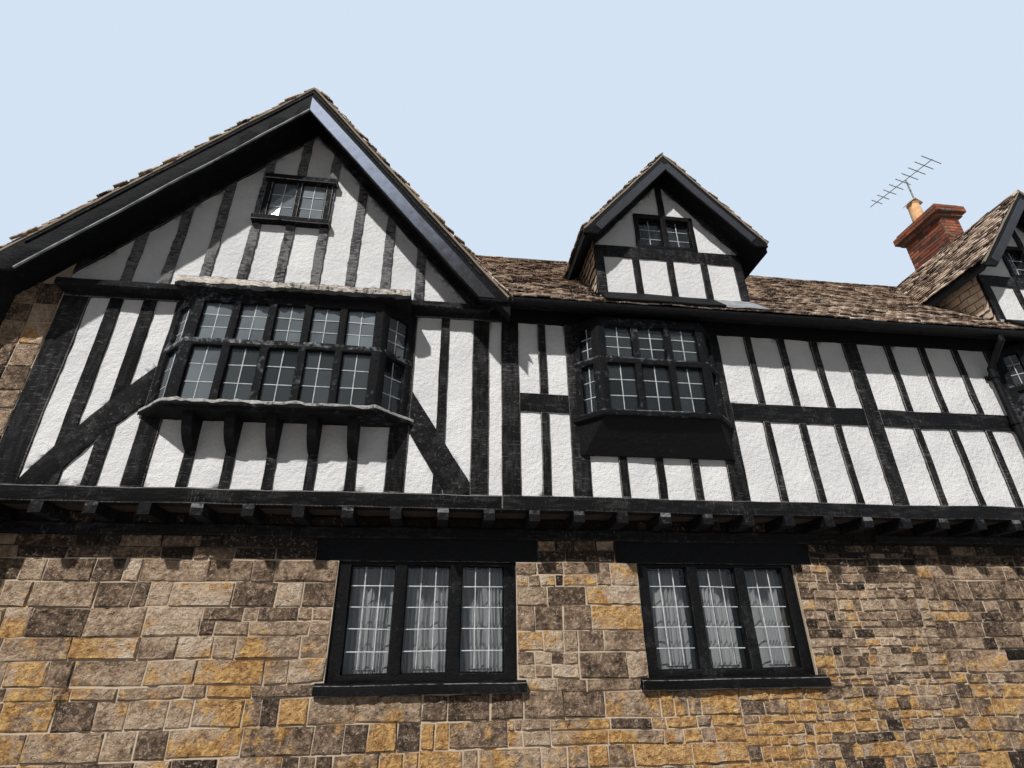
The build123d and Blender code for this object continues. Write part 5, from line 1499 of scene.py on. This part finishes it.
# %% The chimney
def brick_course(shape, low, high, bottom, shift):
    """One course round a stack, between two corners of its plan."""
    for corner, along, length in (
        ((low[0], low[1]), (1, 0, 0), high[0] - low[0]), ((high[0], low[1]), (0, 1, 0), high[1] - low[1]),
        ((high[0], high[1]), (-1, 0, 0), high[0] - low[0]), ((low[0], high[1]), (0, -1, 0), high[1] - low[1]),
    ):
        side = wall_place((*corner, bottom), along)
        pitch = length / round(length / 0.225)
        for index in range(-1, round(length / pitch) + 1):
            left, right = max(0, (index + shift) * pitch), min(length, (index + 1 + shift) * pitch)
            if right - left < 0.04:
                continue
            out = rng.uniform(0.004, 0.011)
            size = box_place((left + 0.005, 0.005, -0.08), (right - 0.005, 0.070, out))
            block(shape, side @ size, rng.betavariate(1.6, 1.6))


rng = random.Random(23)
stack_low, stack_high = (6.995, -0.6), (7.415, 0.3)
stack_bottom, cap_bottom, course = 7.175, 9.5, 0.075
bricks = new_shape()
for row in range(round((cap_bottom - stack_bottom) / course)):
    brick_course(bricks, stack_low, stack_high, stack_bottom + row * course, row % 2 / 2)
for row, steps in enumerate((1, 2, 2, 1)):
    grown = [side - steps * 0.06 for side in stack_low], [side + steps * 0.06 for side in stack_high]
    brick_course(bricks, *grown, cap_bottom + row * course, row % 2 / 2)
round_edges(bricks, 0.004)
for vert in bricks.verts:
    vert.co += noise.noise_vector(vert.co * 15) * 0.004
hand_over("chimney_bricks", bricks, red_brick, smooth=40)

pot_rolls = new_shape()
for height, radius, thick in ((9.83, 0.130, 0.020), (9.90, 0.128, 0.010), (10.375, 0.112, 0.016)):
    ring(pot_rolls, (7.205, -0.05, height), radius, thick)
bmesh.ops.recalc_face_normals(pot_rolls, faces=pot_rolls.faces)
hand_over("chimney_pot_rolls", pot_rolls, buff_clay, smooth=60)

# %% [markdown]
# ## Rainwater goods
#
# The gutter hangs in half round brackets, one to every metre, and the downpipe is held by
# collars. Both are spun: a small circle is swung round half a turn for a bracket, and a full
# turn for a collar.

# %% Rainwater goods
straps = new_shape()
gutter_low, gutter_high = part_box("eaves_gutter")
gutter_middle = Vector((0, (gutter_low.y + gutter_high.y) / 2, gutter_high.z))
for index in range(10):
    centre = gutter_middle + Vector((gutter_low.x + 0.3 + index * 0.98, 0, 0))
    ring(straps, centre, 0.063, 0.006, turn=pi, tilt=pi / 2, steps=10)
pipe_low, pipe_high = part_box("downpipe")
for height, radius in ((4.70, 0.042), (4.73, 0.042), (3.42, 0.042), (3.45, 0.042)):
    ring(straps, (4.181, -2.46, height), radius, 0.010)
bmesh.ops.recalc_face_normals(straps, faces=straps.faces)
hand_over("gutter_straps", straps, painted_iron, smooth=60)

# %% [markdown]
# ## Lead aprons
#
# Under each dormer a sheet of lead is dressed from the sill over the tiles. Lead never lies
# flat: it follows the tiles and creases where it was beaten. The sheet of the construction
# model is cut into strips and creased by noise that is stretched down the slope. A black board
# lies on the slope below it, and a sheet of lead to the right of the board.

# %% Lead aprons
aprons = merged("lead_aprons")
slice_along(aprons, 0, 0.035)
for vert in aprons.verts:
    crease = noise.noise(Vector((vert.co.x * 11, vert.co.z * 2.5, 0))) * 0.012
    vert.co += Vector((0, -abs(crease), crease * 0.6))
round_edges(aprons, 0.003, 1, sharper_than=35)
eave_boards, slope_leads = new_shape(), new_shape()
down_slope, eave_centre = (0, -1, -main_slope), main_top(-2.60) + 0.075
for middle in dormer_middles:
    start = middle - dormer_wall
    ends = [Vector((x, -2.60, eave_centre)) for x in (start - 0.03, start + 1.46, start + 2.03)]
    bar(eave_boards, ends[0], ends[1], down_slope, 0.40, 0.035, 0)
    bar(slope_leads, ends[1], ends[2], down_slope, 0.37, 0.008, 0.5)
slice_along(slope_leads, 0, 0.05)
for vert in slope_leads.verts:
    vert.co.z += noise.noise(vert.co * 9) * 0.012 - 0.006
round_edges(slope_leads, 0.002, 1, sharper_than=35)
hand_over("slope_leads", slope_leads, old_lead, smooth=50)
hew(eave_boards, pitch=0.3, arris=0.008, wear=0.2)
hand_over("dormer_eave_boards", eave_boards, soot_oak, smooth=35)
hand_over("dressed_aprons", aprons, old_lead, stands_for=("lead_aprons",), smooth=50)

# %% [markdown]
# ## The rear door
#
# A plank door: upright boards, two ledges with strap hinges in front of them, and a ring handle.
# It has no photograph of its own, so it is kept as plain as such doors are.

# %% The rear door
door, ironwork = new_shape(), new_shape()
count = 7
board = (door_high.x - door_low.x) / count
for index in range(count):
    left = door_low.x + index * board
    block(door, box_place((left + 0.003, door_low.y, 0.012), (left + board - 0.003, door_high.y, door_high.z - 0.004)))
round_edges(door, 0.004, wear=0.6)
hand_over("rear_door_boards", door, upright_oak, stands_for=("rear_door",), smooth=35)
for height in (0.45, 1.75):
    start = Vector((door_low.x + 0.02, door_high.y + 0.004, height))
    bar(ironwork, start, start + Vector((0.72, 0, 0)), (0, 0, 1), 0.045, 0.008)
    for step in range(6):
        nail = start + Vector((0.06 + step * 0.12, 0.005, 0))
        place = Matrix.Translation(nail) @ Matrix.Rotation(pi / 2, 4, "X")
        bmesh.ops.create_cone(ironwork, cap_ends=True, segments=8, radius1=0.006, radius2=0.010,
                              depth=0.008, matrix=place)
ring(ironwork, (door_high.x - 0.10, door_high.y + 0.016, 1.02), 0.045, 0.006, tilt=0)
latch = Vector((door_high.x - 0.10, door_high.y + 0.002, 1.02))
bar(ironwork, latch - Vector((0, 0, 0.06)), latch + Vector((0, 0, 0.06)), (1, 0, 0), 0.04, 0.006)
bmesh.ops.recalc_face_normals(ironwork, faces=ironwork.faces)
hand_over("rear_door_ironwork", ironwork, stay_iron, smooth=50)

# %% [markdown]
# ## Finish of the remaining carried-over pieces
#
# What is straight and plain on the real house keeps its construction mesh and only gets its
# material.

# %% Finish of the remaining carried-over pieces
paint(flagstone, "ground_floor_slab")
paint(floor_oak, "floor_boards")
paint(soot_oak, "wall_plates", "range_oriel_coves", "large_oriel_brackets")
paint(stay_iron, "curtain_rails")
paint(painted_iron, "downpipe", "eaves_gutter")
paint(stack_mortar, "chimney_stack")
paint(pale_mortar, "chimney_cowl", "cap_mortar")
paint(buff_clay, "chimney_pot")
paint(dull_alloy, "aerial")

# %% [markdown]
# ## Light and floor
#
# A plain level of light: the sky gives a little less than half of it from all around, and one
# broad lamp, high on the left like the sun over the street, gives the rest and the shadows
# under the jetty, eaves and oriels. A white card lit by both comes out about as white as it is.
# The camera, and what is mirrored in or seen through glass, meets a brighter sky than the one
# that lights the house, and a pale floor, while the floor throws back only as much light as a
# street does, so that the jetty stays dark underneath.

# %% Light and floor
world = bpy.data.worlds.new("pale_sky")
world.use_nodes = True
scene.world = world
air = Nodes(world.node_tree)
seen = air.node("LightPath", output="Is Camera Ray") + air.node("LightPath", output="Is Glossy Ray")
seen = seen + air.node("LightPath", output="Is Transmission Ray")
dim_sky = air.node("Background", None, {"Color": (0.86, 0.92, 1.0), "Strength": 0.20})
seen_sky = air.node("Background", None, {"Color": (0.66, 0.77, 0.90), "Strength": 1.0})
either_sky = air.node("MixShader", None, {0: seen, 1: dim_sky, 2: seen_sky})
air.plug(either_sky, world.node_tree.nodes["World Output"].inputs["Surface"])

sun = bpy.data.lights.new("street_sun", "SUN")
sun.energy, sun.angle, sun.color = 4.35, radians(1.5), (1.0, 0.975, 0.94)
sun_object = bpy.data.objects.new("street_sun", sun)
towards_sun = Vector((-0.36, -0.62, 0.70))
sun_object.rotation_euler = towards_sun.to_track_quat("Z", "Y").to_euler()
scene.collection.objects.link(sun_object)

ground = bmesh.new()
bmesh.ops.create_grid(ground, x_segments=1, y_segments=1, size=40)
ground_mesh = bpy.data.meshes.new("pale_floor")
ground.to_mesh(ground_mesh)
ground.free()
floor = bpy.data.objects.new("pale_floor", ground_mesh)
scene.collection.objects.link(floor)



def make_ground():
    finish = Finish("pale_ground", (0.7, 0.7, 0.7))
    seen_ground = finish.node("LightPath", output="Is Camera Ray") + finish.node("LightPath", output="Is Glossy Ray")
    cloud = finish.noise(0.5, 3)
    pale = finish.mix(cloud, (0.70, 0.70, 0.70), (0.74, 0.74, 0.74))
    return finish.surface({
        "Base Color": finish.mix(seen_ground, (0.22, 0.21, 0.20), pale),
        "Roughness": 0.95,
    })


ground_mesh.materials.append(make_ground())

scene.view_settings.view_transform = "Standard"
print("light and floor set")
